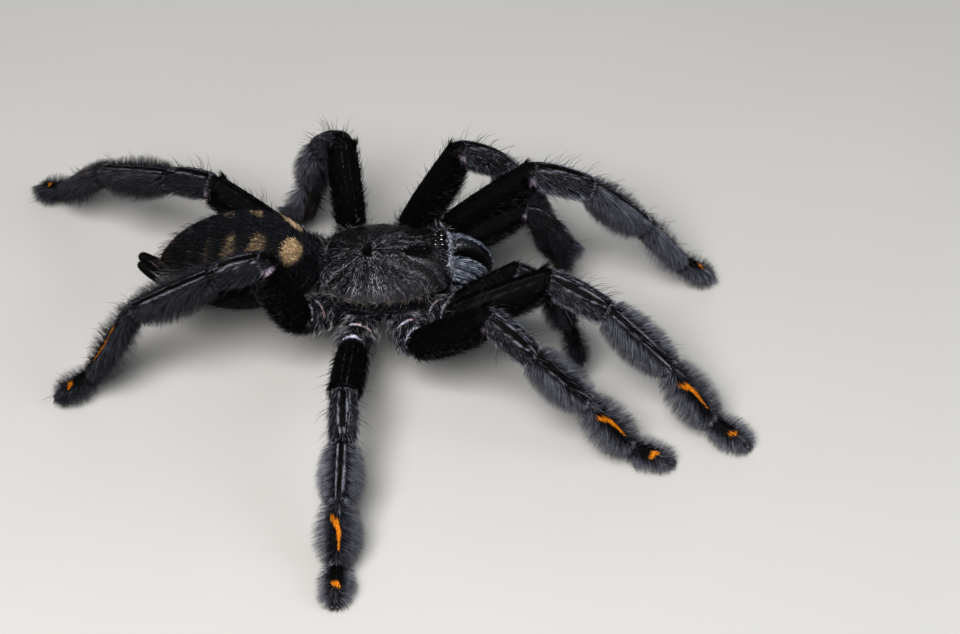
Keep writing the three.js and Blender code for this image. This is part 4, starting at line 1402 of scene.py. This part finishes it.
def abdomen_coat():
    """Velvet with the tan patches, long sparse hairs, and the spinnerets' velvet."""
    rng = np.random.default_rng(31)
    surface = Surface(abdomen_skin.data, read_vectors(abdomen_skin.data, "place"))
    bundles = []

    def rooted(per_mm2):
        roots, outs, place = surface.sprinkle(per_mm2, rng)
        along, angle = place[:, 0], np.arctan2(roots[:, 1], roots[:, 2] - abdomen_axis(place[:, 0]))
        back = np.broadcast_to(np.array([-1.0, 0.0, 0.0]), roots.shape)
        around = np.stack([np.zeros_like(angle), np.cos(angle), -np.sin(angle)], axis=1)
        spot = np.stack([0.02 + 0.94 * along, 0.02 + 0.96 * (angle / (2 * math.pi) + 0.5)], axis=1)
        return roots, outs, along, angle, tangent(back, outs), tangent(around, outs), spot

    # Short velvet: each hair is tan or black, so the patches have ragged edges.
    roots, outs, along, angle, back, around, spot = rooted(BODY_PER_MM2["velvet"])
    count = len(along)
    patches = abdomen_marks(along + rng.normal(0, 0.008, count), angle + rng.normal(0, 0.035, count))
    golden = rng.random(count) < patches * 0.92
    sweep = rng.normal(0, 0.3, count) + 0.25 * np.sin(angle)
    lies = unit(np.cos(sweep)[:, None] * back + np.sin(sweep)[:, None] * around)
    side = smooth_step(1.3, 2.2, np.abs(angle))
    # Black hairs: tinted blue-grey as a painted sheen over the back, greyer on the sides.
    black = blend(np.broadcast_to(ABDOMEN_VELVET_AND_SHEEN, roots.shape), ABDOMEN_SIDE_VELVET, side * 0.8)
    strength = rng.uniform(0.5, 1.4, count)[:, None]
    pale = (TAN[None] + (CREAM - TAN)[None] * rng.random(count)[:, None]) * (0.55 + 0.45 * patches[:, None])
    tint = np.where(golden[:, None], pale * 0.75, black) * strength
    tip = np.where(golden[:, None], pale * 1.15, black * 3.3) * strength
    length = rng.uniform(0.6, 1.0, count) * np.where(golden, 0.85, 1.0)
    rise = np.radians(20) + rng.normal(0, 0.12, count)
    bundles.append(needles(roots, outs, lies, length, rise, BODY_HAIR_RADIUS["velvet"],
                           tint, np.clip(tip, 0, 1), spot))

    # Long fine hairs, sparse on the back and closer together low down and behind.
    roots, outs, along, angle, back, around, spot = rooted(BODY_PER_MM2["long"])
    rear = 1 - smooth_step(0.05, 0.6, along)
    low = smooth_step(0.9, 1.8, np.abs(angle))
    chosen = rng.random(len(along)) < 0.10 + 0.42 * rear + 0.48 * low
    roots, outs, along, angle, back, around, spot, rear, low = taken(
        (roots, outs, along, angle, back, around, spot, rear, low), chosen)
    count = len(along)
    sweep = rng.normal(0, 0.4, count)
    lies = unit(np.cos(sweep)[:, None] * back + np.sin(sweep)[:, None] * around)
    length = (1.5 + 1.2 * rear + 0.5 * low) * rng.uniform(0.6, 1.25, count)
    rise = np.radians(30 + 14 * rear) + rng.normal(0, 0.12, count)
    rust = smooth_step(0.90, 0.99, rear) * (np.abs(angle) < 1.0) * rng.uniform(0, 0.8, count)
    pale = smooth_step(0.8, 1.5, np.abs(angle)) * smooth_step(0.3, 0.7, rear)
    base = blend(np.broadcast_to(ABDOMEN_LONG_HAIR, roots.shape), RUST * 0.5, rust)
    base = blend(base, SILVER * 0.8, pale)
    tint = base * rng.uniform(0.3, 1.2, count)[:, None]
    tip = np.clip(tint * 2.6, 0, 1)
    bundles.append(bent_hairs(roots, outs, lies, length, rise, rise - 0.5, BODY_HAIR_RADIUS["long"],
                              tint, tip, spot))

    # The spinnerets' velvet takes the strip of the map past the abdomen's.
    for finger, (hand, skin_piece) in enumerate(((1, fingers[0]), (-1, fingers[1]))):
        finger_surface = Surface(skin_piece.data, read_points(skin_piece.data))
        roots, outs, _ = finger_surface.sprinkle(BODY_PER_MM2["spinnerets"], rng)
        roots, outs = taken((roots, outs), roots[:, 0] < SPINNERET_VELVET_START)
        count = len(roots)
        lies = tangent(np.array([[-0.74, 0.0, 0.67]]) + rng.normal(0, 0.16, roots.shape), outs)
        tint = tinted(BLACK * 1.6, rng.uniform(0.5, 1.5, count))
        turn = np.arctan2(roots[:, 1] - hand * 1.1, roots[:, 2] - 16.2) / (2 * math.pi) + 0.5
        along_finger = (roots[:, 0] + 37.8) / 5.2
        spot = np.stack([0.965 + 0.03 * turn, 0.05 + 0.42 * finger + 0.4 * along_finger], axis=1)
        rise = np.radians(rng.uniform(10, 28, count))
        length = rng.uniform(0.35, 0.6, count)
        bundles.append(needles(roots, outs, lies, length, rise, BODY_HAIR_RADIUS["spinnerets"],
                               tint, tint * 2.2, spot))
    return coat_piece("coat_abdomen", bundles)


def trunk_coat():
    """Dark fur on the breastplate, the waist and the body's sides, each with its own strip of the map."""
    rng = np.random.default_rng(37)
    bundles = []
    for strip, skin_piece in enumerate(trunk_skins):
        surface = Surface(skin_piece.data, read_points(skin_piece.data))
        roots, outs, _ = surface.sprinkle(BODY_PER_MM2["trunk"], rng)
        count = len(roots)
        back = np.array([[-1.0, 0.0, -0.2]]) + rng.normal(0, 0.35, roots.shape)
        tint = tinted(UNDERFUR, rng.uniform(0.3, 1.1, count) + 7.0 * (rng.random(count) < 0.12))
        turn = np.arctan2(roots[:, 1], roots[:, 2] - 13.0) / (2 * math.pi) + 0.5
        spot = np.stack([0.02 + 0.96 * (roots[:, 0] + 14.0) / 24.0, (strip + 0.05 + 0.9 * turn) / 3], axis=1)
        length = rng.uniform(0.6, 1.1, count)
        rise = np.radians(rng.uniform(15, 45, count))
        bundles.append(needles(roots, outs, tangent(back, outs), length, rise, BODY_HAIR_RADIUS["trunk"],
                               tint, tint * 2.2, spot))
    return coat_piece("coat_trunk", bundles)


# ---------------------------------------------------------------- carapace

CARAPACE_COAT = 0.12                 # depth of its fine fur
# Hairs to the square millimetre, and the hairs' radius at the root.
SHELL_PER_MM2 = {"fur": 92, "front": 60, "fringe": 34}
SHELL_HAIR_RADIUS = {"fur": 0.030, "front": 0.030, "fringe": 0.032}
SHELL_BLACK = np.array([0.0056, 0.0054, 0.0058])
SHELL_STREAK = np.array([0.030, 0.0295, 0.034])
SHELL_BARE = np.array([0.0035, 0.0035, 0.0038])


def model_carapace():
    """The shield over head and thorax, modelled from a grid that is bent over the back."""
    deselect_all()
    bpy.ops.mesh.primitive_grid_add(x_subdivisions=132, y_subdivisions=112, size=2.0)
    piece = bpy.context.object
    piece.name = "carapace_shield"
    grid = read_points(piece.data)
    middle = (CARAPACE_REAR + CARAPACE_FRONT) / 2
    half_length = (CARAPACE_FRONT - CARAPACE_REAR) / 2 - CARAPACE_COAT
    x = middle + half_length * np.sin(grid[:, 0] * math.pi / 2)
    half_width = carapace_half_width(x) - CARAPACE_COAT
    y = half_width * np.sin(grid[:, 1] * math.pi / 2)
    z = carapace_top(x, y, half_width) + 0.1
    hill = eye_hill_rise(x, y)
    z = np.where(hill > z, z + (hill - z) * smooth_step(0, 0.15, hill - z), z)
    write_points(piece.data, np.stack([x, y, z], axis=1))
    apply_modifier(piece, "Thickness", "SOLIDIFY", thickness=RIM_THICKNESS, offset=-1.0)
    apply_modifier(piece, "Edge", "BEVEL", width=0.22, segments=3, limit_method="ANGLE",
                   angle_limit=math.radians(50))
    points = read_points(piece.data)
    x, y = points[:, 0], points[:, 1]
    paint_carapace(piece, x, y)
    return piece


def carapace_polar(x, y):
    return np.hypot(x - FOVEA_X, y), np.arctan2(y, x - FOVEA_X)


def front_band(x, y, start, full, side_start, side_end):
    """1 on a band along the shield's front edge: it starts and is full at these distances from
    the edge, and fades out between these distances from the middle."""
    to_edge = smooth_step(CARAPACE_FRONT - start, CARAPACE_FRONT - full, x)
    return to_edge * (1 - smooth_step(side_start, side_end, np.abs(y)))


def carapace_bare(x, y):
    """The smooth dark ovals beside and behind the eyes."""
    oval = ((x - 4.6) / 2.6) ** 2 + ((np.abs(y) - 2.1) / 1.15) ** 2
    return 1 - smooth_step(0.6, 1.2, oval)


def carapace_ray(bearing, distance):
    """The strength of the streak of fur that a point lies in, and the streak's own random number."""
    turn = bearing * 17 + 0.30 * np.sin(distance * 1.1)
    number = np.floor(turn)
    length = np.floor(distance / 3.4 + 3 * hashed(number, number * 0 + 2))
    strength = 0.75 * hashed(number, number * 0 + 5) + 0.25 * hashed(number, length)
    return strength * np.sin((turn - number) * math.pi) ** 0.7, hashed(number, length + 11)


def paint_carapace(piece, x, y):
    out = np.abs(y) / carapace_half_width(np.clip(x, CARAPACE_REAR, CARAPACE_FRONT))
    distance, bearing = carapace_polar(x, y)
    colour = np.broadcast_to(SHELL_BLACK, (len(x), 3))
    ray, _ = carapace_ray(bearing, distance)
    colour = blend(colour, SHELL_STREAK, ray * smooth_step(0.8, 3.0, distance) * 0.8)
    colour = blend(colour, SHELL_BARE, carapace_bare(x, y))
    pit = np.exp(-(((x - FOVEA_X) / 0.4) ** 2) - (y / 1.1) ** 2)
    colour = blend(colour, BLACK, np.clip(pit, 0, 1))
    # A pale band runs along the front edge, and a pale line along the others.
    colour = blend(colour, PALE_LINE * 0.16, front_band(x, y, 0.75, 0.2, 3.6, 4.6))
    colour = blend(colour, PALE_LINE * 0.25, smooth_step(0.965, 0.99, out) * 0.5)
    write_colours(piece.data, "tint", colour)
    write_vectors(piece.data, "grain", np.stack([distance, bearing * 5.0, np.zeros_like(x)], axis=1))


def carapace_coat(piece):
    """Fine silver hairs in streaks outwards from the pit, and a tangled fringe along the edge."""
    rng = np.random.default_rng(41)
    surface = Surface(piece.data, read_points(piece.data))
    bundles = []

    def spot_of(x, y):
        return np.stack([0.02 + 0.96 * (x - CARAPACE_REAR) / (CARAPACE_FRONT - CARAPACE_REAR),
                         0.02 + 0.96 * (y / CARAPACE_HALF_WIDTH / 2 + 0.5)], axis=1)

    roots, outs, _ = surface.sprinkle(SHELL_PER_MM2["fur"], rng)
    x, y = roots[:, 0], roots[:, 1]
    half_width = carapace_half_width(np.clip(x, CARAPACE_REAR, CARAPACE_FRONT))
    out = np.abs(y) / half_width
    distance, bearing = carapace_polar(x, y)
    on_eyes = eye_hill_rise(x, y) > roots[:, 2] - 0.6
    ray, number = carapace_ray(bearing, distance)
    slit = np.hypot((x - FOVEA_X) / 0.55, y / 1.1)
    chance = (outs[:, 2] > 0.12) * (1 - 0.97 * carapace_bare(x, y)) * smooth_step(0.7, 1.5, slit)
    chance = chance * np.where(on_eyes, 0.02, 1.0) * (0.10 + 0.90 * ray)
    chance = chance * (1 - 0.5 * smooth_step(5.5, 7.0, x))
    chosen = rng.random(len(x)) < chance
    roots, outs, x, y, out, distance, number = taken((roots, outs, x, y, out, distance, number), chosen)
    count = len(x)
    radial = np.stack([x - FOVEA_X, y, np.zeros_like(x)], axis=1)
    radial[:, 0] -= 1.4 * smooth_step(2, 6, x) * np.abs(y)
    lies = tangent(unit(radial) + rng.normal(0, 0.06, roots.shape), outs)
    length = (0.6 + 0.3 * smooth_step(0.4, 1.0, out)) * rng.uniform(0.7, 1.3, count)
    rise = np.radians(9) + rng.normal(0, 0.05, count)
    light = np.clip(rng.beta(0.8, 1.2, count) * (0.30 + 1.3 * number), 0, 1)
    # Brightest round the pit, and darker near the edge; darker over the left side as painted shade, that half
    # turned away from the key lamp.
    light = light * (1.2 + 0.55 * np.exp(-((distance / 4.2) ** 2)))
    light = light * (1 - 0.65 * smooth_step(0.74, 0.94, out))
    # Painted shade: the left half's hairs are darkened.
    light = light * (1 - 0.45 * smooth_step(2.0, 5.5, y))
    tint = tinted(FUR_GREY * 0.8, 0.03 + light)
    tip = np.clip(tinted(FUR_GREY * 2.5, 0.01 + light), 0, 1)
    bundles.append(needles(roots, outs, lies, length, rise, SHELL_HAIR_RADIUS["fur"], tint, tip,
                           spot_of(x, y)))

    # Pale blue-grey hairs lie forwards over the front edge, round a bare spot behind each eye.
    roots, outs, _ = surface.sprinkle(SHELL_PER_MM2["front"], rng)
    x, y = roots[:, 0], roots[:, 1]
    front = front_band(x, y, 1.15, 0.5, 3.7, 4.8)
    torn = 0.5 + 0.5 * np.sin(y * 7.3 + 1.7 * np.sin(y * 2.9))
    chosen = (rng.random(len(x)) < front * (0.45 + 0.55 * torn)) & (outs[:, 2] > 0.0)
    roots, outs, x, y = taken((roots, outs, x, y), chosen)
    count = len(x)
    forwards = np.stack([np.ones(count), y * 0.16, np.zeros(count)], axis=1)
    lies = tangent(forwards + rng.normal(0, 0.25, roots.shape), outs)
    tint = tinted(PALE_LINE * 1.35, 0.05 + rng.beta(0.9, 1.3, count))
    length = rng.uniform(0.4, 0.9, count)
    tip = np.clip(tint * 1.4, 0, 1)
    bundles.append(bent_hairs(roots, outs, lies, length, 0.45, 0.1, SHELL_HAIR_RADIUS["front"],
                              tint, tip, spot_of(x, y)))

    # The fringe lies along the rim and hangs a little below it.
    roots, outs, _ = surface.sprinkle(SHELL_PER_MM2["fringe"], rng)
    x, y = roots[:, 0], roots[:, 1]
    half_width = carapace_half_width(np.clip(x, CARAPACE_REAR, CARAPACE_FRONT))
    at_edge = (np.abs(y) > half_width - 0.5) | (x < CARAPACE_REAR + 0.5)
    chosen = at_edge & (outs[:, 2] > -0.5) & (x < 7.4) & (rng.random(len(x)) < 0.7)
    roots, outs, x, y = taken((roots, outs, x, y), chosen)
    count = len(x)
    behind = 1 - smooth_step(-8.5, -4.5, x)
    radial = unit(np.stack([x - FOVEA_X, y * 1.3, np.zeros_like(x)], axis=1))
    rimward = np.stack([-radial[:, 1], radial[:, 0], np.zeros_like(x)], axis=1) * np.sign(-y)[:, None]
    mix = rng.uniform(0.45, 1.0, count)[:, None]
    lies = tangent(unit(radial * (1.25 - mix) + rimward * mix * rng.choice([1.0, 1.0, -0.6], count)[:, None])
                   + rng.normal(0, 0.15, roots.shape), outs)
    light = np.where(rng.random(count) < 0.42, 0.25 + 0.75 * rng.beta(1.2, 1.5, count), 0.02)
    rise = np.radians(rng.uniform(2, 24, count) + 6 * behind)
    droop = np.broadcast_to(np.array([0.0, 0.0, -0.35]), roots.shape)
    colour = FRINGE[None] * (1 - behind[:, None]) + SILVER[None] * behind[:, None]
    length = rng.uniform(1.0, 2.2, count) * (1 + 0.6 * behind)
    tint = colour * 0.6 * light[:, None]
    tip = np.clip(colour * 2.4 * light[:, None], 0, 1)
    bundles.append(bent_hairs(roots, outs, lies, length, rise, rise - 0.4, SHELL_HAIR_RADIUS["fringe"],
                              tint, tip, spot_of(x, y), droop))
    return coat_piece("coat_carapace", bundles)


# ---------------------------------------------------------------- jaws and fangs


# Hairs to the square millimetre, and the hairs' radius at the root.
JAW_PER_MM2 = {"bristles": 46, "velvet": 95, "brush": 16}
JAW_HAIR_RADIUS = {"bristles": 0.036, "velvet": 0.032, "brush": 0.03}
JAW_BLACK = np.array([0.0048, 0.0052, 0.0060])
# A painted sheen of blue-grey over the outer top of each jaw.
JAW_TOP_SHEEN = np.array([0.030, 0.035, 0.046])
JAW_INNER = np.array([0.0030, 0.0022, 0.0022])
JAW_BRISTLE = np.array([0.36, 0.395, 0.48])


def from_middle(y, side):
    """How far out from the jaw's own middle, away from the other jaw."""
    return side * (y - side * JAW_SIDE)


def down_the_jaw(x, z):
    """The direction round the jaw's bend, from its base to its tip."""
    return unit(np.stack([z - 11.6, np.zeros_like(x), 9.0 - x], axis=1))


def jaw_spot(x, z):
    """The map's place for a root on the jaw."""
    return np.stack([0.05 + 0.9 * (x - 8.5) / 6.5, 0.05 + 0.9 * (z - 9.0) / 11.0], axis=1)


def model_jaw(side):
    path = [(x, z, radius - JAW_COAT) for x, z, radius in JAW_PATH]
    path += [(13.62, 9.95, 1.05), (13.58, 9.7, 0.5)]
    stations = []
    for (centre, slope, radius, height, depth) in along_path(path):
        width = (JAW_HALF_WIDTH - JAW_COAT) * min(1.0, radius / 1.9)
        stations.append((centre, slope, width, height, depth))
    piece = pull_tube("jaw_base", stations, corners=14, levels=2)
    points = read_points(piece.data)
    points[:, 1] += side * JAW_SIDE
    write_points(piece.data, points)
    piece.data.update()
    x, y, z = points.T
    lateral = from_middle(y, side)
    on_top = smooth_step(16.6, 18.8, z)
    colour = np.broadcast_to(JAW_BLACK, points.shape)
    # Painted sheen: the jaw's outer top is tinted blue-grey.
    colour = blend(colour, JAW_TOP_SHEEN, on_top * smooth_step(-1.2, 0.6, lateral))
    colour = blend(colour, JAW_INNER, smooth_step(0.3, 1.3, -lateral))
    write_colours(piece.data, "tint", colour)
    write_vectors(piece.data, "grain", np.stack([z * 1.0, np.arctan2(x - 10, z - 14) * 6, y], axis=1))
    return piece


def jaw_coat(piece, side):
    """Bristles in rows that run down the outside of the jaw, and a brush along its lower edge."""
    rng = np.random.default_rng(51 + side)
    surface = Surface(piece.data, read_points(piece.data))
    roots, outs, _ = surface.sprinkle(JAW_PER_MM2["bristles"], rng)
    x, y, z = roots.T
    down_path = np.arctan2(z - 13.0, x - 8.6)
    lateral = from_middle(y, side)
    number = np.floor(np.hypot(x - 9.0, z - 11.2) * 3.1 + 0.25 * np.sin(down_path * 3))
    strength = hashed(number, number * 0 + 7)
    outer = smooth_step(-0.4, 0.7, lateral)
    chance = (x > 9.4) * outer * np.maximum(smooth_step(0.25, 0.5, strength), 0.08)
    chosen = rng.random(len(x)) < chance
    roots, outs, x, y, z, strength = taken((roots, outs, x, y, z, strength), chosen)
    lies = tangent(down_the_jaw(x, z) + rng.normal(0, 0.05, roots.shape), outs)
    length = rng.uniform(0.9, 1.6, len(x))
    rise = np.radians(8) + rng.normal(0, 0.04, len(x))
    light = np.clip(rng.beta(0.8, 1.4, len(x)) * (0.25 + 1.1 * strength), 0, 1)
    tint = tinted(JAW_BRISTLE * 0.5, 0.05 + light)
    tip = np.clip(tinted(JAW_BRISTLE * 2.6, 0.03 + light), 0, 1)
    bundles = [bent_hairs(roots, outs, lies, length, rise, rise - 0.1, JAW_HAIR_RADIUS["bristles"],
                          tint, tip, jaw_spot(x, z))]

    # A pale streak of flat hairs starts at the inner side of the jaw's base and forks over its top.
    roots, outs, _ = surface.sprinkle(JAW_PER_MM2["velvet"], rng)
    x, y, z = roots.T
    lateral = from_middle(y, side)
    stem = np.exp(-((lateral + 1.15 - 0.10 * (x - 9.5)) / 0.26) ** 2) * (1 - smooth_step(11.8, 13.0, x))
    fork = np.exp(-((lateral + 1.0 - 1.1 * (x - 9.5)) / 0.22) ** 2) * (1 - smooth_step(10.0, 10.5, x))
    base = 1 - smooth_step(9.8, 10.15, x + 0.15 * np.abs(lateral))
    chosen = (rng.random(len(x)) < np.maximum(np.maximum(stem, fork), base)) & (z > 17.0)
    roots, outs, x, z = taken((roots, outs, x, z), chosen)
    lies = tangent(down_the_jaw(x, z) + rng.normal(0, 0.12, roots.shape), outs)
    tint = tinted(PALE_LINE * 1.8, 0.1 + rng.beta(1.0, 1.4, len(x)))
    length = rng.uniform(0.35, 0.6, len(x))
    bundles.append(needles(roots, outs, lies, length, 0.15, JAW_HAIR_RADIUS["velvet"],
                           tint, tint * 1.3, jaw_spot(x, z)))

    # The brush under its tip.
    roots, outs, _ = surface.sprinkle(JAW_PER_MM2["brush"], rng)
    x, y, z = roots.T
    chosen = (z < 11.6) & (rng.random(len(x)) < 0.9)
    roots, outs, x, z = taken((roots, outs, x, z), chosen)
    lies = tangent(np.array([[-0.3, 0.0, -1.0]]) + rng.normal(0, 0.15, roots.shape), outs)
    tint = tinted(RUST * 0.6, rng.uniform(0.4, 1.1, len(x)))
    length = rng.uniform(0.8, 1.6, len(x))
    bundles.append(bent_hairs(roots, outs, lies, length, 0.6, 0.3, JAW_HAIR_RADIUS["brush"],
                              tint, tint * 1.6, jaw_spot(x, z)))
    return coat_piece("coat_jaw_" + ("l" if side > 0 else "r"), bundles)


FANG_FLATNESS = 0.8                  # its width against its height


def model_fang(side):
    """A hooked blade, folded back under the jaw."""
    path = [(14.1, 10.3, 0.7)] + FANG_PATH + [(9.85, 8.62, 0.12)]
    stations = [(centre, slope, radius * FANG_FLATNESS, radius, radius)
                for centre, slope, radius, _, _ in along_path(path)]
    piece = pull_tube("fang_blade", stations, corners=10, levels=2)
    points = read_points(piece.data)
    points[:, 1] += side * (JAW_SIDE - 0.12 * np.clip((14.3 - points[:, 0]), 0, 4))
    write_points(piece.data, points)
    return piece


# ---------------------------------------------------------------- eyes and claws


def model_eye(node, name):
    """A smooth lens, seated where the solid's eye is."""
    low, high = (np.array(corner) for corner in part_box(node))
    centre = ((low + high) / 2 - np.array(SHIFT)) / MM
    half = (high - low) / 2 / MM
    deselect_all()
    bpy.ops.mesh.primitive_uv_sphere_add(segments=28, ring_count=18, radius=1.0, location=centre, scale=half)
    piece = bpy.context.object
    piece.name = name
    apply_place(piece)
    put_in_order(piece.data)
    return piece


CLAW_PATH = [
    (-0.3, 0.05, 0.12), (0.05, 0.12, 0.15), (0.4, 0.16, 0.13),
    (0.72, 0.02, 0.09), (0.9, -0.26, 0.045), (0.94, -0.42, 0.012),
]
CLAW_SPACING = 0.28                  # from a toe's middle to each of its claws
CLAW_SPLAY = 0.18
CLAW_GROUND_GAP = 0.05


def model_claws():
    """A pair of small hooks at the tip of each leg and one at the tip of each palp."""
    hook = pull_tube("claw_hook", along_path(CLAW_PATH), corners=8, levels=1)
    shape = read_points(hook.data)
    claws = []
    for limb in LIMBS.values():
        along, across, up = limb.along[-1], limb.across[-1], limb.up[-1]
        spread = (0.0,) if limb.kind == "palp" else (-CLAW_SPACING, CLAW_SPACING)
        for offset in spread:
            claw = copy_of(hook, "claw")
            base = limb.joints[-1] - along * 0.1 + up * 0.22 + across * offset
            splay = across * np.sign(offset) * CLAW_SPLAY
            points = base + shape[:, :1] * (along + splay) + shape[:, 1:2] * across + shape[:, 2:3] * up
            points[:, 2] = np.maximum(points[:, 2], CLAW_GROUND_GAP)
            write_points(claw.data, points)
            claws.append(claw)
    bpy.data.objects.remove(hook)
    return join("claws", claws)


# ---------------------------------------------------------------- putting the animal together

carapace = model_carapace()
carapace_fur = carapace_coat(carapace)
abdomen_fur = abdomen_coat()
trunk_fur = trunk_coat()
jaws = {side: model_jaw(side) for side in (1, -1)}
jaw_furs = {side: jaw_coat(jaws[side], side) for side in (1, -1)}

limb_nodes = [f"{name}_{part}" for name in POSE for part in ("hip", "thigh", "shin", "foot")]
skin = join("skin", list(limb_skins.values()) + body_skins)
settle(skin, SKIN, "coat", *limb_nodes, "sternum", "abdomen", "spinneret_r", "spinneret_l")
for straight in (straight_leg, straight_palp):
    bpy.data.objects.remove(straight)
for coat in limb_coats:
    settle(coat, HAIR, "coat")
settle(abdomen_fur, FUR, "abdomen")
settle(trunk_fur, FUR, "abdomen")
settle(carapace, SHELL, "shell", "carapace")
settle(carapace_fur, HAIR, "shell")
for side, hand in ((1, "l"), (-1, "r")):
    jaws[side].name = "jaw_base_" + hand
    settle(jaws[side], JAW_SHELL, "jaw", "jaw_" + hand)
    settle(jaw_furs[side], HAIR, "jaw")
    fang = model_fang(side)
    fang.name = "fang_blade_" + hand
    settle(fang, HORN, "horn", "fang_" + hand)
    for place in ("front_middle", "front_side", "rear_side", "rear_middle"):
        lens = model_eye(f"eye_{place}_{hand}", f"lens_{place}_{hand}")
        settle(lens, EYE_GLOSS, "eye", f"eye_{place}_{hand}")
settle(model_claws(), HORN, "horn")

# ---------------------------------------------------------------- floor, light and camera


FLOOR_SIZE = 3.0


def build_floor():
    deselect_all()
    bpy.ops.mesh.primitive_plane_add(size=FLOOR_SIZE)
    ground = bpy.context.object
    ground.name = "floor"
    ground.data.materials.append(floor_material())


def area_light(name, place, target, size, power, colour):
    light = bpy.data.lights.new(name, "AREA")
    light.shape = "SQUARE"
    light.size = size
    light.energy = power
    light.color = colour
    lamp = bpy.data.objects.new(name, light)
    lamp.location = place
    lamp.rotation_euler = (Vector(target) - Vector(place)).to_track_quat("-Z", "Y").to_euler()
    bpy.context.collection.objects.link(lamp)


# The lamps: name, place from the animal's middle, size, power and colour.
LAMPS = [
    ("key", (-0.10, -0.34, 0.46), 0.30, 5.1, (1.0, 0.985, 0.97)),
    ("fill", (0.45, -0.25, 0.28), 0.40, 1.0, (0.90, 0.95, 1.0)),
    ("rim", (0.05, 0.48, 0.30), 0.36, 0.25, (0.93, 0.96, 1.0)),
]
LIT_HEIGHT = 0.012                   # the lamps point at this height
AIR_COLOUR = (0.93, 0.95, 1.0, 1)
AIR_STRENGTH = 0.10


def build_light():
    centre = SHIFT + Vector((0, 0, LIT_HEIGHT))
    for name, place, size, power, colour in LAMPS:
        area_light(name, centre + Vector(place), centre, size, power, colour)
    world = bpy.data.worlds.new("studio")
    bpy.context.scene.world = world
    world.use_nodes = True
    background = world.node_tree.nodes["Background"]
    background.inputs["Color"].default_value = AIR_COLOUR
    background.inputs["Strength"].default_value = AIR_STRENGTH


CAMERA_TURN = math.radians(-1.0)
CAMERA_RISE = math.radians(43.0)
CAMERA_DISTANCE = 0.450
LENS = 112.5
SENSOR_WIDTH = 36.0
BODY_AXIS_HEIGHT = 0.017
VIEW_RIGHT = 0.01395                 # the view's centre, to the right of the body's middle
VIEW_DOWN = 0.00855                  # and below it


def build_camera():
    level = math.cos(CAMERA_RISE)
    back = Vector((math.sin(CAMERA_TURN) * level, -math.cos(CAMERA_TURN) * level, math.sin(CAMERA_RISE)))
    right = Vector((math.cos(CAMERA_TURN), math.sin(CAMERA_TURN), 0))
    up = back.cross(right)
    aim = SHIFT + Vector((0, 0, BODY_AXIS_HEIGHT)) + right * VIEW_RIGHT - up * VIEW_DOWN
    data = bpy.data.cameras.new("camera")
    data.lens = LENS
    data.sensor_width = SENSOR_WIDTH
    data.clip_start = 0.01
    data.clip_end = 20.0
    camera = bpy.data.objects.new("camera", data)
    turn = Matrix((right, up, back)).transposed().to_4x4()
    camera.matrix_world = Matrix.Translation(aim + back * CAMERA_DISTANCE) @ turn
    bpy.context.collection.objects.link(camera)
    bpy.context.scene.camera = camera


build_floor()
build_light()
build_camera()
bpy.context.scene.view_settings.view_transform = "Standard"
bpy.context.scene.view_settings.look = "High Contrast"

deselect_all()
